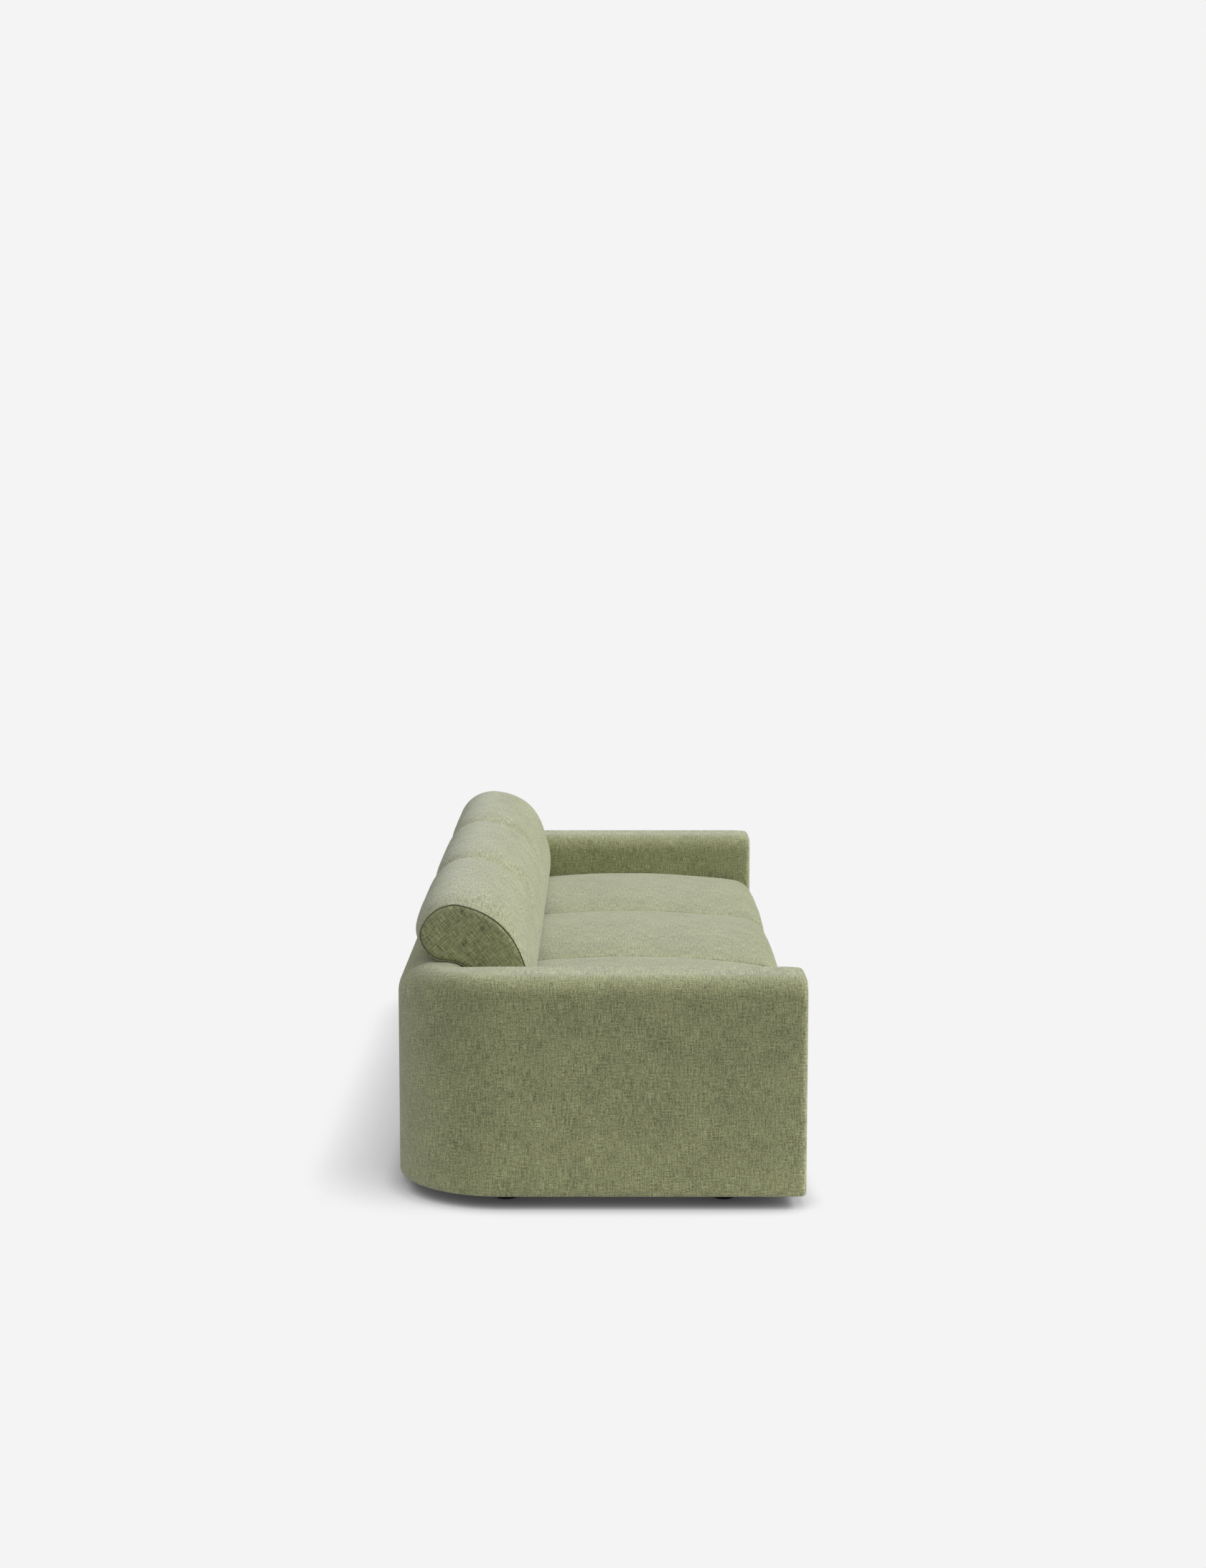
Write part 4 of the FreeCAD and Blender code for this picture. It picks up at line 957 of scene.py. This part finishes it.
def soft_piece(module, kind, section, filling, seed):
    """A seat or bolster, which starts a little small and is swelled by the simulation."""
    make = SOFT[kind]
    middle = (MODULES.index(module) - 1) * SEAT_PITCH
    skin, held = cushion(middle, section, make["seam"], np.array(make["panel_centre"]), make["panel_puff"])
    piece = skin.piece(f"{module}_{kind}", [make["cloth"], PANEL, SEAM_SHADE_VELVET])
    points = coordinates(piece.data)
    freedom = make["freedom"](points, held)
    normals = np.array([tuple(vertex.normal) for vertex in piece.data.vertices])
    smaller = points - normals * (make["start_inset"] * freedom)[:, None]
    piece.data.vertices.foreach_set("co", smaller.ravel())
    inflate(piece, freedom, make["cap"])
    unevenness(piece, freedom, seed)
    piece.modifiers.new("subdivision", "SUBSURF").render_levels = 1
    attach(piece, f"{module}_{kind}")
    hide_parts(f"{module}_{kind}_cover", f"{module}_{kind}_{filling}")


BOLSTER_SEED = 7
for seed, module in enumerate(MODULES):
    forward = SEAT_FORWARD[module]
    soft_piece(module, "seat", lambda station: seat_outline(station, forward), "foam", seed)
    soft_piece(module, "bolster", bolster_outline, "filling", seed + BOLSTER_SEED)


# Finish of the pieces that keep their own shape

FINISHES = {
    "surround_frame": plywood(),
    "feet": moulded_plastic(),
    "frame_bolts": zinc_steel("zinc_bolts", 1.0),
    "connectors": zinc_steel("zinc_plates", 0.85),
    "seat_zip": zip_tape(),
    "seat_zip_slider": zinc_steel("dark_nickel", 0.45),
}
for kind, same in (("back_frame", "surround_frame"), ("base_frame", "surround_frame"),
                   ("connector_screws", "frame_bolts"), ("bolster_zip", "seat_zip"),
                   ("bolster_zip_slider", "seat_zip_slider")):
    FINISHES[kind] = FINISHES[same]
for name, shape in nodes.items():
    finish = FINISHES.get(name.split("_", 1)[1])
    if finish:
        shape.data.materials.clear()
        shape.data.materials.append(finish)


# Studio: pale floor that runs into a pale background, soft light from the front and above

BACKDROP = 0.905
HORIZON, ZENITH = 0.29, 0.63
SUN_FROM = Vector((0, -0.82, 0.57))
SUN_STRENGTH = 2.65
FILL_FROM = Vector((-0.15, 0.95, 0.25))
FILL_STRENGTH = 0.25
SUN_SPREAD = 50
FLOOR_HALF = 14
NEAR_FLOOR, FAR_FLOOR = 0.77, 0.15
FLOOR_POOL = 1.6
SHADOW_REACH = 0.3
SHADOW_GREY = 0.01
SHADOW_GAIN = 1.14
GAP_REACH = 0.1
GAP_GAIN = 1.25
SHADOW_SAMPLES = 16
LIT_FROM = Vector((-0.5, -0.7, 0.5)).normalized()
CAMERA_LENS = 56.04
CAMERA_PLACE = (-6.867, -0.0086, 1.711)
CAMERA_DIP = 7.03


def seen_plainly(tree):
    """1 for rays from the camera, or by way of a mirror or glass; 0 for the light on the object."""
    path = node(tree, "ShaderNodeLightPath").outputs
    seen = maths(tree, "MAXIMUM", path["Is Camera Ray"], path["Is Glossy Ray"])
    return maths(tree, "MAXIMUM", seen, path["Is Transmission Ray"])


def floor():
    mesh = bpy.data.meshes.new("floor")
    corners = ((-1, -1), (1, -1), (1, 1), (-1, 1))
    mesh.from_pydata([(x * FLOOR_HALF, y * FLOOR_HALF, 0) for x, y in corners], [], [(0, 1, 2, 3)])
    piece = bpy.data.objects.new("floor", mesh)
    bpy.context.scene.collection.objects.link(piece)
    material, tree, shader = new_material("studio_floor")
    tree.nodes.remove(shader)
    place = node(tree, "ShaderNodeTexCoord").outputs["Object"]
    sides = node(tree, "ShaderNodeVectorMath", {0: place}, operation="ABSOLUTE").outputs[0]
    beyond = node(tree, "ShaderNodeVectorMath", {0: sides, 1: (HALF_WIDTH, BACK, 0)},
                  operation="SUBTRACT").outputs[0]
    apart = node(tree, "ShaderNodeVectorMath", {0: beyond}, operation="MAXIMUM").outputs[0]
    distance = node(tree, "ShaderNodeVectorMath", {0: apart}, operation="LENGTH").outputs["Value"]
    # For the light on the sofa, the floor's colour is a painted pool of bounce light, brightest next to the
    # sofa.
    pool = node(tree, "ShaderNodeMapRange", {"Value": distance, "From Max": FLOOR_POOL,
                                             "To Min": NEAR_FLOOR, "To Max": FAR_FLOOR})
    paint = node(tree, "ShaderNodeBsdfDiffuse", {"Color": pool.outputs["Result"]})
    # Seen from the camera, the floor glows pale with a painted shadow: the glow is darkened by ambient
    # occlusion towards the key light and under the base.
    towards_light = node(tree, "ShaderNodeCombineXYZ", dict(zip("XYZ", LIT_FROM))).outputs["Vector"]
    shadow = node(tree, "ShaderNodeAmbientOcclusion", {"Distance": SHADOW_REACH, "Normal": towards_light},
                  samples=SHADOW_SAMPLES)
    gap = node(tree, "ShaderNodeAmbientOcclusion", {"Distance": GAP_REACH}, samples=SHADOW_SAMPLES)
    beside = maths(tree, "MINIMUM", maths(tree, "MULTIPLY", shadow.outputs["AO"], SHADOW_GAIN), 1)
    beneath = maths(tree, "MINIMUM", maths(tree, "MULTIPLY", gap.outputs["AO"], GAP_GAIN), 1)
    lit = maths(tree, "MULTIPLY", beside, beneath)
    grey = maths(tree, "MULTIPLY_ADD", lit, BACKDROP - SHADOW_GREY, SHADOW_GREY)
    pale = node(tree, "ShaderNodeEmission", {"Color": (1, 1, 1, 1), "Strength": grey})
    blend = node(tree, "ShaderNodeMixShader", {0: seen_plainly(tree), 1: paint.outputs[0],
                                               2: pale.outputs[0]})
    tree.links.new(blend.outputs[0], tree.nodes["Material Output"].inputs["Surface"])
    mesh.materials.append(material)


def sky():
    world = bpy.data.worlds.new("studio")
    world.use_nodes = True
    tree = world.node_tree
    upward = node(tree, "ShaderNodeSeparateXYZ", {0: node(tree, "ShaderNodeTexCoord").outputs["Generated"]})
    glow = node(tree, "ShaderNodeMapRange", {"Value": upward.outputs["Z"], "To Min": HORIZON,
                                             "To Max": ZENITH}).outputs["Result"]
    strength = node(tree, "ShaderNodeMix", {"Factor": seen_plainly(tree), "A": glow, "B": BACKDROP})
    background = tree.nodes["Background"]
    background.inputs["Color"].default_value = (1, 1, 1, 1)
    tree.links.new(strength.outputs["Result"], background.inputs["Strength"])
    bpy.context.scene.world = world


def sun(name, light_from, strength):
    lamp = bpy.data.lights.new(name, "SUN")
    lamp.energy = strength
    lamp.angle = math.radians(SUN_SPREAD)
    piece = bpy.data.objects.new(name, lamp)
    piece.rotation_euler = light_from.to_track_quat("Z", "Y").to_euler()
    bpy.context.scene.collection.objects.link(piece)


def camera():
    """Looks along the sofa from beyond its left arm."""
    lens = bpy.data.cameras.new("camera")
    lens.lens = CAMERA_LENS
    piece = bpy.data.objects.new("camera", lens)
    piece.location = CAMERA_PLACE
    piece.rotation_euler = (math.radians(90 - CAMERA_DIP), 0, math.radians(-90))
    bpy.context.scene.collection.objects.link(piece)
    bpy.context.scene.camera = piece


floor()
sky()
sun("key", SUN_FROM, SUN_STRENGTH)
sun("fill", FILL_FROM, FILL_STRENGTH)
camera()
bpy.context.scene.view_settings.view_transform = "Standard"
